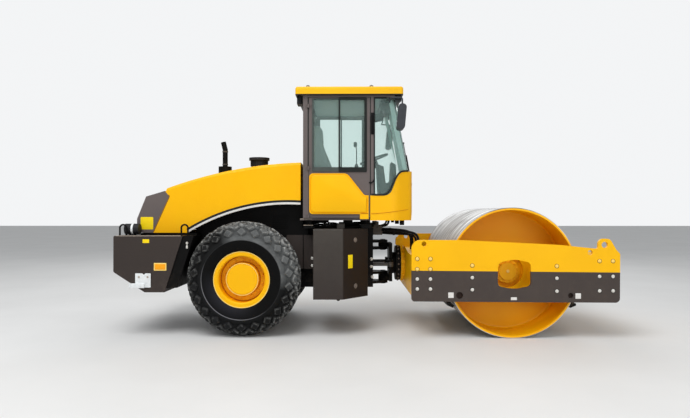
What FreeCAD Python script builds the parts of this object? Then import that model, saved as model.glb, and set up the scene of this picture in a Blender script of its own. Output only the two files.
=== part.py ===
import FreeCAD
import Part
import math
import os

# Single-drum road roller: steel drum in a plate frame at the front (+X), joined by an
# articulated and oscillating centre link to a two-wheeled rear frame with engine and cab.
# Millimetres. +X forward, +Y to the machine's left, +Z up, floor at Z = 0.

V = FreeCAD.Vector
os.makedirs("parts", exist_ok=True)

# Clearances
RUNNING = 0.08          # radial clearance of a shaft in its bearing
SEAT = 0.3              # gap between faces that seat on each other
PIN_GAP = 3.0           # axial gap beside the lugs of a pinned joint
MOVE_GAP = 5.0          # least gap between pieces that move past each other
THROUGH = 1.0           # a cutting tool stands this far past the face that it cuts

# Drum
DRUM_RADIUS = 800.0
DRUM_WIDTH = 2130.0
DRUM_SHELL = 30.0
DRUM_X = 1825.0
DRUM_Z = DRUM_RADIUS
DRUM_EDGE = 6.0
BULKHEAD_DEPTH = 470.0
BULKHEAD_THICKNESS = 35.0
BULKHEAD_CORNER = 30.0
DRUM_HUB_RADIUS = 230.0
DRUM_HUB_HEIGHT = 25.0
STUB_RADIUS = 90.0
BULKHEAD_Y = DRUM_WIDTH / 2 - BULKHEAD_DEPTH

# Side plates of the drum frame
PLATE_OUTER_Y = DRUM_WIDTH / 2 + 85.0
PLATE_THICKNESS = 40.0
PLATE_INNER_Y = PLATE_OUTER_Y - PLATE_THICKNESS
PLATE_REAR_X = 581.0
PLATE_FRONT_X = 3099.0
PLATE_BOTTOM_Z = 456.0
PLATE_TILT = 6.0            # the lower edge is this much higher at the rear, lower in front
EYE_X = 2914.0
EYE_Z = 1149.0
EYE_EAR = 74.0
EYE_HOLE = 38.0
PLATE_TOP = (               # x, z, corner radius along the upper edge from the front
    (PLATE_FRONT_X, 1040.0, 25.0),
    (3052.0, 1091.0, 30.0),
    (EYE_X + 62.0, EYE_Z + EYE_EAR, 66.0),
    (EYE_X - EYE_EAR, EYE_Z + EYE_EAR, 66.0),
    (EYE_X - EYE_EAR - 6.0, 1100.0, 20.0),
    (2382.0, 1147.0, 0.0),
    (1162.0, 1206.0, 0.0),
    (PLATE_REAR_X, 1206.0, 110.0),
)
PLATE_HOLES = (             # x, z, radius
    (EYE_X, EYE_Z, EYE_HOLE),
    (732.0, 1159.0, 30.0),
    (2737.0, 1055.0, 30.0),
    (2502.0, 536.0, 32.0),
    (1162.0, 536.0, 42.0),
)
WINDOW_WIDTH = 407.0
WINDOW_Z = (606.0, 976.0)
WINDOW_BOW = 42.0           # the window's lower and upper edges rise this much to its middle
WINDOW_DRAW = 8.0           # and its sides draw in this much towards the top
WINDOW_CORNER = 60.0

# Cross beams, drum carriers and scrapers
REAR_BEAM_X = (612.0, 870.0)
REAR_BEAM_Z = (489.0, 1000.0)
FRONT_BEAM_X = (2820.0, 3070.0)
FRONT_BEAM_Z = (520.0, 1010.0)
BEAM_WALL = 20.0
HITCH_SMALL = (230.0, 600.0, 1075.0)    # half width, low z, high z at the oscillation ring
HITCH_LARGE = (520.0, 500.0, 1000.0)    # and at the beam
LUG_PLATE_X = (476.0, 578.0)
LUG_PLATE_TOP_Z = 1203.0
LUG_PLATE_HALF = 20.0
SUPPORT_COLUMN = 516.0      # rubber buffers stand this far before and behind the drum axis
SUPPORT_ROWS = (-205.0, -50.0, 98.0)
BUFFER_RADIUS = 62.0
BUFFER_EDGE = 10.0
BRACKET_HALF = 75.0
CARRIER_MARGIN = 80.0
CARRIER_CORNER = 40.0
CARRIER_THICKNESS = 25.0
CARRIER_Y = (DRUM_WIDTH / 2 - 285.0, DRUM_WIDTH / 2 - 285.0 + CARRIER_THICKNESS)
BUFFER_END_Y = PLATE_INNER_Y - 205.0
HOUSING_RADIUS = 215.0
HOUSING_GAP = 60.0
MOTOR_COVER_RADIUS = 110.0
MOTOR_COVER_Y = CARRIER_Y[1] + 45.0
MOTOR_FLANGE_RADIUS = 150.0
MOTOR_FLANGE_HEIGHT = 18.0
MOTOR_GROOVE_RADIUS = 205.0
MOTOR_GROOVE_DEPTH = 55.0
MOTOR_RING_RADIUS = 245.0
MOTOR_RING_HEIGHT = 8.0
SCRAPER_GAP = 12.0
SCRAPER_HALF_WIDTH = DRUM_WIDTH / 2 - 45.0
SCRAPER_Z = 395.0
SCRAPER_REACH = 90.0
SCRAPER_TIP = (20.0, 30.0)
SCRAPER_BLADE = 25.0
SCRAPER_ARM_Y = 700.0
SCRAPER_ARM_HALF = 40.0
SCRAPER_ARM_ROOT = (40.0, 110.0)    # from the face of the beam to the arm's two upper corners

# Centre link: steering pin and oscillation bearing
PIN_X = 300.0
PIN_RADIUS = 38.0
PIN_HEAD = 10.0
LINK_Z = 835.0
LUG_RADIUS = 65.0
LUG_TIP_FLAT = 3.0
LUG_TIP_HALF = 0.7 * LUG_RADIUS
UPPER_LUG_Z = (1064.0, 1118.0)
LOWER_LUG_Z = (592.0, 682.0)
LINK_LUG_ROOT = 120.0
FORK_LUG_ROOT = 160.0
LUG_SINK = 5.0
FORK_THICKNESS = 35.0
LINK_PLATE_X = (375.0, 418.0)
LINK_PLATE_HALF = 200.0
RING_RADIUS = 240.0
NECK_RADIUS = 150.0
RING_X = (468.0, 537.0)
RING_FACE_GAP = 2.0
HUB_RING_X = (RING_X[1] + RING_FACE_GAP, 585.0)
OSCILLATION_PIN_RADIUS = 95.0

# Steering cylinders
STEER_Y = 280.0
STEER_BARREL_PIN_X = -320.0
STEER_ROD_PIN_X = 385.0
STEER_PIN_RADIUS = 20.0
STEER_EYE_RADIUS = 42.0
STEER_EYE_HALF = 30.0
STEER_BARREL_RADIUS = 45.0
STEER_ROD_RADIUS = 24.0
STEER_BARREL_LENGTH = 450.0
STEER_BARREL_END = 20.0
STEER_NECK_RADIUS = 27.0
STEER_NECK_LENGTH = 6.0
STEER_GLAND = (7.0, 50.0)   # height over the barrel, length
STEER_ROD_LENGTH = 425.0
EYE_SINK = 10.0
EAR_THICKNESS = 25.0
EAR_HALF = 40.0
EAR_CORNERS = (20.0, 35.0)
EAR_GAP = STEER_EYE_HALF + PIN_GAP

# Rear wheels and axle
AXLE_X = -1496.0
TYRE_RADIUS = 715.0
TYRE_WIDTH = 524.0
TYRE_Y = 860.0
BEAD_RADIUS = 326.0
RIM_RADIUS = 350.0
RIM_WIDTH = 440.0
RIM_BARREL = (286.0, 314.0)
RIM_LIP = 14.0
RIM_DISC_Y = 70.0
RIM_DISC_THICKNESS = 25.0
WHEEL_HUB_RADIUS = 204.0
WHEEL_HUB_FACE = 181.0
WHEEL_HUB_REST = 35.0       # the hub's face lies this far inside the rim's edge
WHEEL_HUB_CHAMFER = 23.0
WHEEL_HUB_BACK = (170.0, 190.0)
AXLE_STUB_RADIUS = 80.0
AXLE_STUB_END = 40.0
AXLE_RADIUS = 105.0
AXLE_BEAM_END = 640.0
DIFFERENTIAL = (205.0, 90.0, 200.0)     # radius, half width of its drum, end of its cones
AXLE_PAD_HALF = 110.0
AXLE_PAD_Y = (330.0, 430.0)

# Counterweight and tail, which follow the tyre's circle
WEIGHT_HALF = 1020.0
WEIGHT_TOP_Z = 1251.0
WEIGHT_REAR_X = -PLATE_FRONT_X
WEIGHT_BOTTOM_Z = 551.0
WEIGHT_TOE = 390.0
WEIGHT_HEEL_Z = 802.0
WEIGHT_EDGE = 20.0
TAIL_SLOPE = 0.32
TAIL_TYRE_GAP = 30.0
TAIL_DEPTH = 133.0
TAIL_HALF = 1000.0
TAIL_BOTTOM_Z = 604.0
TAIL_FRONT_X = AXLE_X - (TYRE_RADIUS + TAIL_TYRE_GAP) * math.hypot(1.0, TAIL_SLOPE)
HOOP_WIDTH = 82.0
HOOP_HEIGHT = 147.0
HOOP_BAR = 11.0
HOOP_REAR_X = -3005.0
HOOP_FRONT_STEP = 6.0       # the front hoop stands over the joint of counterweight and tail
HOOP_INSET = 70.0

# Frame rails and the fork of the steering pin
RAIL_Y = (365.0, 395.0)
RAIL_BOTTOM_Z = 540.0
RAIL_CAB_Z = 1335.0
RAIL_ARCH_Z = TYRE_RADIUS + 175.0
RAIL_TOP_Z = RAIL_ARCH_Z + 145.0
RAIL_REAR_Z = TAIL_BOTTOM_Z + 36.0
RAIL_ARCH_HALF = (225.0, 360.0)     # from the axle to the arch's upper and lower corners
RAIL_STEP_X = (-860.0, -740.0)
RAIL_CORNER = 60.0
FORK_PLATE_X = (97.0, 145.0)
STEER_WINDOW_Y = (130.0, 375.0)
STEER_WINDOW_Z = (745.0, 925.0)

# Side tanks
TANK_REAR_X = AXLE_X + TYRE_RADIUS + 161.0
TANK_CORNER_X = -251.0
TANK_FRONT_X = 65.0
TANK_OUTER_Y = 1050.0
TANK_FRONT_Y = 700.0
TANK_Z = (467.0, RAIL_CAB_Z - 4.0)
TANK_CORNERS = (15.0, 30.0, 20.0)
STEP_RISES = (130.0, 460.0)
STEP_HEIGHT = 250.0
STEP_DEPTH = 190.0
STEP_MARGINS = (50.0, 20.0)

# Hood
HOOD_HALF = 780.0
HOOD_WALL = 30.0
HOOD_SHOULDER = 40.0
HOOD_FRONT_X = -798.0
HOOD_REAR_X = -2895.0
HOOD_SEAT_Z = WEIGHT_TOP_Z + 30.0
HOOD_LOW = (-2686.0, HOOD_SEAT_Z)       # the joint of yellow shell and grey rear end,
HOOD_NOTCH = (-2478.0, 1746.0)          # from the deck up to its foremost point
HOOD_LIP = (-2528.0, 1805.0)            # and back to the shell's upper edge
HOOD_CROWN = ((-2514.0, 1855.0), (-1792.0, 2063.0), (HOOD_FRONT_X, 2184.0))
HOOD_ARCH = (
    (HOOD_FRONT_X, 2 * TYRE_RADIUS + 210.0),
    (-1570.0, 2 * TYRE_RADIUS + 137.0),
    (AXLE_X - TYRE_RADIUS - 29.0, HOOD_SEAT_Z),
)
HOOD_OPEN = 60.0            # the hollow runs this far out of the open front and underside
GRILLE_BEND = (HOOD_REAR_X, 1460.0)
GRILLE_TOP = (-2779.0, 1746.0)
GRILLE_CREST = (-2536.0, 1818.0)
GRILLE_WALL = 40.0
GRILLE_SLOTS = (1490.0, 1528.0, 1566.0, 1604.0, 1642.0, 1680.0)
GRILLE_SLOT_HEIGHT = 20.0
GRILLE_SLOT_DEPTH = 18.0
GRILLE_SLOT_HALF = 620.0
HOOD_PIVOT_X = HOOD_REAR_X + 15.0
HOOD_PIVOT_Z = WEIGHT_TOP_Z + 23.0
HOOD_PIVOT_Y = 500.0
HOOD_PIN_RADIUS = 10.0
HOOD_EAR_RADIUS = 16.0
HOOD_EAR_WIDTH = 25.0
HOOD_WEB_HALF = 12.0
HOOD_PEDESTAL_HALF = 30.0
HOOD_PEDESTAL_TOP = 9.0
HOOD_NOTCH_HEIGHT = 22.0
PLINTH_X = (HOOD_PIVOT_X + 30.0, TAIL_DEPTH - 23.0)
PLINTH_INSET = 10.0

# Engine bay
ENGINE_X = (58.0, -1000.0)      # gap to the tail, front face
ENGINE_HALF = 320.0
ENGINE_TOP_Z = 1780.0
ENGINE_LIFT = 60.0
ENGINE_FOOT = 110.0
ENGINE_FEET = (10.0, 180.0)
BAY_PANEL_Y = (530.0, 560.0)
BAY_PANEL_LIFT = 25.0
BAY_PANEL_STEP = (-790.0, -720.0, 1330.0)   # front edge, lower front edge, height of the step
BAY_PANEL_TOP = (                           # x, height over the tyre
    (-790.0, 290.0),
    (-1300.0, 270.0),
    (-1750.0, 160.0),
    (-2100.0, 0.0),
    (-2225.0, -150.0),
)
LOUVRES = (1322.0, 1347.0, 1372.0, 1397.0, 1422.0, 1447.0, 1472.0, 1497.0)
LOUVRE_X = (-1190.0, -985.0)
LOUVRE_HEIGHT = 12.0
LOUVRE_DEPTH = 12.0
EXHAUST_X = -1934.0
EXHAUST_COLLAR = (92.0, 2010.0, 2190.0)     # radius, low z, high z
EXHAUST_PIPE = (36.0, 2190.0, 2440.0)
EXHAUST_TIP = 110.0
EXHAUST_TIP_OVERLAP = 10.0
EXHAUST_LEAN = 0.25
PRE_CLEANER_X = -1449.0
PRE_CLEANER = (                             # radius, low z, high z
    (60.0, 2095.0, 2190.0),
    (115.0, 2190.0, 2276.0),
    (143.0, 2276.0, 2313.0),
)

# Cab
CAB_HALF = 800.0
CAB_REAR_X = -764.0
CAB_FLOOR_Z = (1440.0, 1470.0)
CAB_FLOOR_HALF = CAB_HALF - 45.0
CAB_LEDGE_X = -806.0
CAB_LEDGE_Y = CAB_HALF - 200.0
CAB_LEDGE_THICKNESS = 17.0
CAB_TOP_Z = 3036.0
CAB_BEAMS_X = ((-765.0, -640.0), (-20.0, 110.0))
CAB_BEAM_HALF = CAB_HALF - 80.0
CAB_BEAM_HEIGHT = 55.0
CAB_MOUNT_RADIUS = 55.0
CAB_MOUNT_Y = CAB_HALF - 200.0
REAR_WALL = 70.0
REAR_WALL_X = CAB_REAR_X + REAR_WALL
REAR_WINDOW_HALF = CAB_HALF - 180.0
REAR_WINDOW_Z = (1980.0, CAB_TOP_Z - 115.0)
REAR_WINDOW_CORNER = 60.0
REAR_GLASS_DEPTH = 30.0
GLASS = 8.0
DOOR_REAR_X = REAR_WALL_X + 4.0
DOOR_FRONT_X = 88.0
DOOR_THICKNESS = 40.0
DOOR_Z = (CAB_FLOOR_Z[1] + 4.0, CAB_TOP_Z - 26.0)
DOOR_CORNER = 20.0
DOOR_GLASS_DEPTH = 16.0
SIDE_WINDOW_X = (-650.0, 35.0)
SIDE_WINDOW_Z = (2108.0, CAB_TOP_Z - 46.0)
SIDE_WINDOW_CORNER = 30.0
SKIN_THICKNESS = 22.0
SKIN = (                    # x, z, corner radius
    (DOOR_REAR_X + 7.0, 2037.0, 45.0),
    (DOOR_REAR_X + 7.0, 1520.0, 45.0),
    (-38.0, 1520.0, 0.0),
    (-38.0, 1457.0, 0.0),
    (DOOR_FRONT_X - 16.0, 1457.0, 10.0),
    (DOOR_FRONT_X - 16.0, 1757.0, 0.0),
    (18.0, 1760.0, 40.0),
    (-200.0, 2037.0, 90.0),
)
HINGE_Z = (1494.0, 2107.0, CAB_TOP_Z - 136.0)
HINGE_X = DOOR_REAR_X - 2.0
HINGE_RADIUS = 14.0
HINGE_PIN_RADIUS = 7.0
HINGE_HALF = 22.0
HINGE_STEP = 1.0            # gap between the two knuckles of a hinge
HINGE_LEAF = (36.0, 6.0)    # length, half thickness
HINGE_BRIDGE = (20.0, 12.0, 4.0)    # length on the wall, length on the door, reach past the pin
HINGE_PIN_ENDS = (5.0, 2.0)
HINGE_Y = CAB_HALF + HINGE_RADIUS
POST_X = (DOOR_FRONT_X + 6.0, 147.0)
POST_DEPTH = 55.0
RING_BOTTOM_Z = DOOR_Z[1] + 5.0
RING_BAR = 60.0
RING_FRONT_X = (310.0, 405.0)
NOSE_Z = (CAB_FLOOR_Z[0] - 2.0, 2078.0)
NOSE_FRONT_X = 672.0
NOSE_BULGE_Z = 1763.0
NOSE_SILL_Z = 1757.0
NOSE_DRAW = (36.0, 25.0)    # the front draws back this much at the bottom and the top
NOSE_WALL = 50.0
NOSE_PLAN = (               # x before the nose's front, y inside the cab's side, corner radius
    (252.0, 20.0, 250.0),
    (25.0, 190.0, 150.0),
)
NOSE_BOW = 1500.0
NOSE_LAP = 20.0
NOSE_CORNERS = ((466.0, 14.0, 60.0), (345.0, 0.0, 110.0))   # x, drop from top or sill, radius
SCREEN_HALF = CAB_HALF - 200.0
SCREEN_X = (645.0, 470.0)   # at the middle of the lower and the upper edge
SCREEN_Z = (NOSE_Z[1] - 18.0, CAB_TOP_Z - SEAT)
SCREEN_BOW = 50.0
QUARTER_INSET = 12.0
QUARTER_LOW = ((430.0, 55.0), (640.0, 188.0))   # x, y inside the cab's side, middle and end
QUARTER_HIGH = ((290.0, 45.0), (404.0, 188.0))
QUARTER_GLASS = (3.0, 8.0)
ROOF_X = (-861.0, 512.0)
ROOF_HALF = CAB_HALF + 50.0
ROOF_Z = (CAB_TOP_Z, CAB_TOP_Z + 107.0)
ROOF_EDGE = 30.0
ROOF_EYES_X = (-708.0, 113.0)
ROOF_EYE_Y = CAB_HALF - 100.0
ROOF_EYE = (30.0, 14.0, 17.0, 6.0)      # radius, hole, height of centre over roof, half thickness

# Cab fittings
SEAT_BASE = ((-560.0, -120.0), (-230.0, 230.0), (CAB_FLOOR_Z[1], 1800.0))
SEAT_PAN = ((-600.0, -100.0), (-260.0, 260.0), (1800.0, 1840.0))
CUSHION = ((-560.0, -60.0), (-260.0, 260.0), (SEAT_PAN[2][1] + SEAT, 1960.0))
BACK_HALF = 250.0
SEAT_BACK = (               # x, z, corner radius
    (REAR_WALL_X + 14.0, CUSHION[2][1] + SEAT, 30.0),
    (-400.0, CUSHION[2][1] + SEAT, 30.0),
    (-415.0, 2180.0, 0.0),
    (-540.0, 2480.0, 0.0),
    (-555.0, 2750.0, 40.0),
    (REAR_WALL_X + 14.0, 2750.0, 40.0),
)
CONSOLE_HALF = 170.0
CONSOLE = (                 # x, z
    (250.0, CAB_FLOOR_Z[1]),
    (500.0, CAB_FLOOR_Z[1]),
    (470.0, 2200.0),
    (410.0, 2240.0),
    (395.0, 1950.0),
    (330.0, 1950.0),
    (300.0, 2180.0),
    (205.0, 2215.0),
)
STEERING_CENTRE = V(175.0, 0.0, 2295.0)
STEERING_AXIS = V(-0.36, 0.0, 1.0).normalize()
STEERING_COLUMN = (35.0, 130.0)         # radius, length
STEERING_WHEEL = (200.0, 14.0)          # radius, half thickness of its rim
STEERING_SPOKE = (10.0, 195.0)
MIRROR_Y = CAB_HALF + 280.0
MIRROR_HALF = 85.0
MIRROR_TOP = (477.0, CAB_TOP_Z - 173.0)
MIRROR_BOTTOM = (449.0, CAB_TOP_Z - 485.0)
MIRROR_DEPTH = 51.0
MIRROR_CORNER = 45.0
MIRROR_ARM_X = 340.0
MIRROR_ARM_RADIUS = 10.0
MIRROR_ARM_BEND = 25.0
MIRROR_ARM_DROP = 65.0
FRONT_LAMP = ((415.0, 495.0), 61.0, 60.0)   # x range, height, half width
REAR_LAMP = ((-850.0, -790.0), 94.0, 90.0)
FRONT_LAMP_Y = CAB_HALF - 100.0
REAR_LAMP_Y = CAB_HALF - 180.0
DECK_LAMP_X = (-3007.0, -2829.0)
DECK_LAMP_RADIUS = 68.0
DECK_LAMP_Y = HOOD_HALF + 80.0
DECK_LAMP_FOOT = (40.0, 15.0, 12.0)     # half length, half width, height under the lamp


def corner_wire(points, place):
    """Closed wire through (u, v) or (u, v, corner radius) points."""
    corners = []
    for index, point in enumerate(points):
        here = V(point[0], point[1], 0)
        radius = point[2] if len(point) > 2 else 0
        if not radius:
            corners.append((here, None, here))
            continue
        before = points[index - 1]
        after = points[(index + 1) % len(points)]
        back = (V(before[0], before[1], 0) - here).normalize()
        ahead = (V(after[0], after[1], 0) - here).normalize()
        half = back.getAngle(ahead) / 2
        reach = radius / math.tan(half)
        bisector = (back + ahead).normalize()
        middle = here + bisector * (radius / math.sin(half) - radius)
        corners.append((here + back * reach, middle, here + ahead * reach))
    edges = []
    for index, (start, middle, end) in enumerate(corners):
        if middle is not None:
            edges.append(Part.Arc(place(start), place(middle), place(end)).toShape())
        following = corners[(index + 1) % len(corners)][0]
        if (following - end).Length > 1e-6:
            edges.append(Part.LineSegment(place(end), place(following)).toShape())
    return Part.Wire(edges)


def side_plate(points, y_from, y_to):
    """Outline in X and Z, extruded along Y."""
    wire = corner_wire(points, lambda p: V(p.x, y_from, p.y))
    return Part.Face(wire).extrude(V(0, y_to - y_from, 0))


def plan_plate(points, z_from, z_to):
    """Outline in X and Y, extruded along Z."""
    wire = corner_wire(points, lambda p: V(p.x, p.y, z_from))
    return Part.Face(wire).extrude(V(0, 0, z_to - z_from))


def cross_plate(points, x_from, x_to):
    """Outline in Y and Z, extruded along X."""
    wire = corner_wire(points, lambda p: V(x_from, p.x, p.y))
    return Part.Face(wire).extrude(V(x_to - x_from, 0, 0))


def block(x, y, z):
    """Box from three (low, high) pairs."""
    return Part.makeBox(x[1] - x[0], y[1] - y[0], z[1] - z[0], V(x[0], y[0], z[0]))


def rod_x(y, z, radius, x_from, x_to):
    return Part.makeCylinder(radius, x_to - x_from, V(x_from, y, z), V(1, 0, 0))


def rod_y(x, z, radius, y_from, y_to):
    return Part.makeCylinder(radius, y_to - y_from, V(x, y_from, z), V(0, 1, 0))


def rod_z(x, y, radius, z_from, z_to):
    return Part.makeCylinder(radius, z_to - z_from, V(x, y, z_from), V(0, 0, 1))


def turned(profile, x, z):
    """Profile of (radius, y, corner radius) points, turned about the Y axis at x, z."""
    wire = corner_wire(profile, lambda p: V(x + p.x, p.y, z))
    return Part.Face(wire).revolve(V(x, 0, z), V(0, 1, 0), 360)


def pipe(points, radius, bend):
    """Round bar along straight runs joined by tangent arcs."""
    stops = [V(*point) for point in points]
    edges = []
    start = stops[0]
    for before, here, after in zip(stops, stops[1:], stops[2:]):
        back = (before - here).normalize()
        ahead = (after - here).normalize()
        half = back.getAngle(ahead) / 2
        reach = bend / math.tan(half)
        first = here + back * reach
        last = here + ahead * reach
        middle = here + (back + ahead).normalize() * (bend / math.sin(half) - bend)
        edges.append(Part.LineSegment(start, first).toShape())
        edges.append(Part.Arc(first, middle, last).toShape())
        start = last
    edges.append(Part.LineSegment(start, stops[-1]).toShape())
    circle = Part.Circle(stops[0], stops[1] - stops[0], radius).toShape()
    return Part.Wire(edges).makePipeShell([Part.Wire([circle])], True, False)


def mirrored(shape):
    return shape.mirror(V(0, 0, 0), V(0, 1, 0))


def both_sides(shape):
    return [shape, mirrored(shape)]


def joined(shapes):
    first = shapes[0]
    return first.multiFuse(shapes[1:]).removeSplitter() if len(shapes) > 1 else first


def save(node, *solids):
    """Write one node: one solid, or like solids that don't touch."""
    shape = solids[0] if len(solids) == 1 else Part.makeCompound(list(solids))
    shape.exportStep("parts/%s.step" % node)
    print("%-22s %2d solids  %8.3f litres" % (node, len(shape.Solids), shape.Volume / 1e6))


# Drum frame


def frame_plate():
    """One side plate of the drum frame on the right, with its window, eye and holes."""
    y = (-PLATE_OUTER_Y, -PLATE_INNER_Y)
    lower = [
        (PLATE_REAR_X, PLATE_BOTTOM_Z + PLATE_TILT, 35),
        (PLATE_FRONT_X - PLATE_TILT, PLATE_BOTTOM_Z - PLATE_TILT, 55),
    ]
    plate = side_plate(lower + list(PLATE_TOP), y[0], y[1])
    half = WINDOW_WIDTH / 2
    low, high = WINDOW_Z
    window = side_plate(
        [
            (DRUM_X - half, low + WINDOW_BOW, WINDOW_CORNER),
            (DRUM_X, low, WINDOW_WIDTH),
            (DRUM_X + half, low + WINDOW_BOW, WINDOW_CORNER),
            (DRUM_X + half - WINDOW_DRAW, high - WINDOW_BOW, WINDOW_CORNER),
            (DRUM_X, high, WINDOW_WIDTH),
            (DRUM_X - half + WINDOW_DRAW, high - WINDOW_BOW, WINDOW_CORNER),
        ],
        y[0] - THROUGH,
        y[1] + THROUGH,
    )
    tools = [rod_y(x, z, radius, y[0] - THROUGH, y[1] + THROUGH) for x, z, radius in PLATE_HOLES]
    return plate.cut(window).cut(tools)


def beam(x, z):
    """Hollow cross beam between the side plates."""
    y = (-PLATE_INNER_Y, PLATE_INNER_Y)
    inner = [(low + BEAM_WALL, high - BEAM_WALL) for low, high in (x, y, z)]
    return block(x, y, z).cut(block(*inner))


def hitch_section(half, low, high, x):
    return corner_wire(
        [(-half, low), (half, low), (half, high), (-half, high)], lambda p: V(x, p.x, p.y)
    )


def rear_beam():
    """Rear cross beam with the tapered hitch, the oscillation ring and the lug over it."""
    hitch = Part.makeLoft(
        [
            hitch_section(*HITCH_SMALL, HUB_RING_X[1]),
            hitch_section(*HITCH_LARGE, REAR_BEAM_X[0]),
        ],
        True,
        True,
    )
    ring = rod_x(0, LINK_Z, RING_RADIUS, HUB_RING_X[0], HUB_RING_X[1])
    bore_radius = OSCILLATION_PIN_RADIUS + RUNNING
    bore = rod_x(0, LINK_Z, bore_radius, HUB_RING_X[0] - THROUGH, HUB_RING_X[1])
    clear_z = LINK_Z + RING_RADIUS + MOVE_GAP
    lug = side_plate(
        [
            (HUB_RING_X[0] + RING_FACE_GAP, LINK_Z + NECK_RADIUS),
            (LUG_PLATE_X[1], LINK_Z + NECK_RADIUS),
            (LUG_PLATE_X[1], LUG_PLATE_TOP_Z, 30),
            (LUG_PLATE_X[0], LUG_PLATE_TOP_Z, 45),
            (LUG_PLATE_X[0], clear_z, 20),
            (HUB_RING_X[0] + RING_FACE_GAP, clear_z),
        ],
        -LUG_PLATE_HALF,
        LUG_PLATE_HALF,
    )
    return joined([beam(REAR_BEAM_X, REAR_BEAM_Z), hitch, ring.cut(bore), lug])


def drum_support():
    """Carrier of one drum end: stub shaft, motor housing, plate, buffers and brackets."""
    rows = [DRUM_Z + row for row in SUPPORT_ROWS]
    inner, outer = CARRIER_Y
    reach = SUPPORT_COLUMN + BUFFER_RADIUS + BUFFER_EDGE
    low = rows[0] - CARRIER_MARGIN
    high = rows[-1] + CARRIER_MARGIN
    outline = [
        (DRUM_X + side * reach, z, CARRIER_CORNER)
        for side, z in ((-1, low), (1, low), (1, high), (-1, high))
    ]
    carrier = joined(
        [
            side_plate(outline, -outer, -inner),
            rod_y(DRUM_X, DRUM_Z, HOUSING_RADIUS, -inner, -BULKHEAD_Y - HOUSING_GAP),
            rod_y(DRUM_X, DRUM_Z, MOTOR_RING_RADIUS, -outer - MOTOR_RING_HEIGHT, -outer),
        ]
    )
    groove_end = -outer + MOTOR_GROOVE_DEPTH
    front = -outer - MOTOR_RING_HEIGHT - THROUGH
    groove = rod_y(DRUM_X, DRUM_Z, MOTOR_GROOVE_RADIUS, front, groove_end)
    pieces = [
        carrier.cut(groove),
        rod_y(DRUM_X, DRUM_Z, STUB_RADIUS, -inner, -BULKHEAD_Y + BULKHEAD_THICKNESS),
        rod_y(DRUM_X, DRUM_Z, MOTOR_FLANGE_RADIUS, -outer - MOTOR_FLANGE_HEIGHT, groove_end),
        rod_y(DRUM_X, DRUM_Z, MOTOR_COVER_RADIUS, -MOTOR_COVER_Y, -outer),
    ]
    for side in (-1, 1):
        column_x = DRUM_X + side * SUPPORT_COLUMN
        for row in rows:
            pieces.append(rod_y(column_x, row, BUFFER_RADIUS, -BUFFER_END_Y, -outer))
        pieces.append(
            block(
                (column_x - BRACKET_HALF, column_x + BRACKET_HALF),
                (-PLATE_INNER_Y, -BUFFER_END_Y),
                (rows[0] - BRACKET_HALF, rows[-1] + BRACKET_HALF),
            )
        )
    return joined(pieces)


def scraper(side):
    """Blade beside the drum with two arms from the beam: side -1 rear, 1 front."""
    drop = DRUM_Z - SCRAPER_Z
    touch = math.sqrt(DRUM_RADIUS**2 - drop**2)
    edge_x = DRUM_X + side * (touch + SCRAPER_GAP)
    far_x = edge_x + side * SCRAPER_REACH
    face = REAR_BEAM_X[1] if side < 0 else FRONT_BEAM_X[0]
    bottom = REAR_BEAM_Z[0] if side < 0 else FRONT_BEAM_Z[0]
    blade = side_plate(
        [
            (edge_x, SCRAPER_Z),
            (edge_x + side * SCRAPER_TIP[0], SCRAPER_Z - SCRAPER_TIP[1]),
            (far_x, SCRAPER_Z),
            (far_x, SCRAPER_Z + SCRAPER_BLADE),
        ],
        -SCRAPER_HALF_WIDTH,
        SCRAPER_HALF_WIDTH,
    )
    root_x = far_x - side * SCRAPER_BLADE / 2
    arm = [
        (root_x, SCRAPER_Z + SCRAPER_BLADE / 5),
        (root_x, SCRAPER_Z + SCRAPER_BLADE * 4 / 5),
        (face + side * SCRAPER_ARM_ROOT[0], bottom),
        (face + side * SCRAPER_ARM_ROOT[1], bottom),
    ]
    arms = [
        side_plate(arm, y - SCRAPER_ARM_HALF, y + SCRAPER_ARM_HALF)
        for y in (-SCRAPER_ARM_Y, SCRAPER_ARM_Y)
    ]
    return joined([blade] + arms)


def drum():
    """Open-ended steel shell with a bulkhead and bearing hub in each end."""
    half = DRUM_WIDTH / 2
    inner = DRUM_RADIUS - DRUM_SHELL
    face = BULKHEAD_Y
    back = face - BULKHEAD_THICKNESS
    hub = face + DRUM_HUB_HEIGHT
    bore = STUB_RADIUS + RUNNING
    right = [
        (bore, -back),
        (bore, -hub),
        (DRUM_HUB_RADIUS, -hub),
        (DRUM_HUB_RADIUS, -face),
        (inner, -face, BULKHEAD_CORNER),
        (inner, -half),
        (DRUM_RADIUS, -half, DRUM_EDGE),
    ]
    left = [(point[0], -point[1]) + tuple(point[2:]) for point in reversed(right)]
    return turned(right + left + [(inner, back), (inner, -back)], DRUM_X, DRUM_Z)


# Centre link and steering


def lug_outline(x_root, half_root, direction):
    """Plan outline of a lug that tapers from its root to a round end at the pin."""
    tip = PIN_X + direction * LUG_RADIUS
    return [
        (x_root, -half_root),
        (tip, -LUG_TIP_HALF, LUG_RADIUS - LUG_TIP_FLAT),
        (tip, LUG_TIP_HALF, LUG_RADIUS - LUG_TIP_FLAT),
        (x_root, half_root),
    ]


def ear_levels():
    """Lower faces of the two ears that hold the eye of a steering cylinder."""
    return (LINK_Z + EAR_GAP, LINK_Z - EAR_GAP - EAR_THICKNESS)


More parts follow.
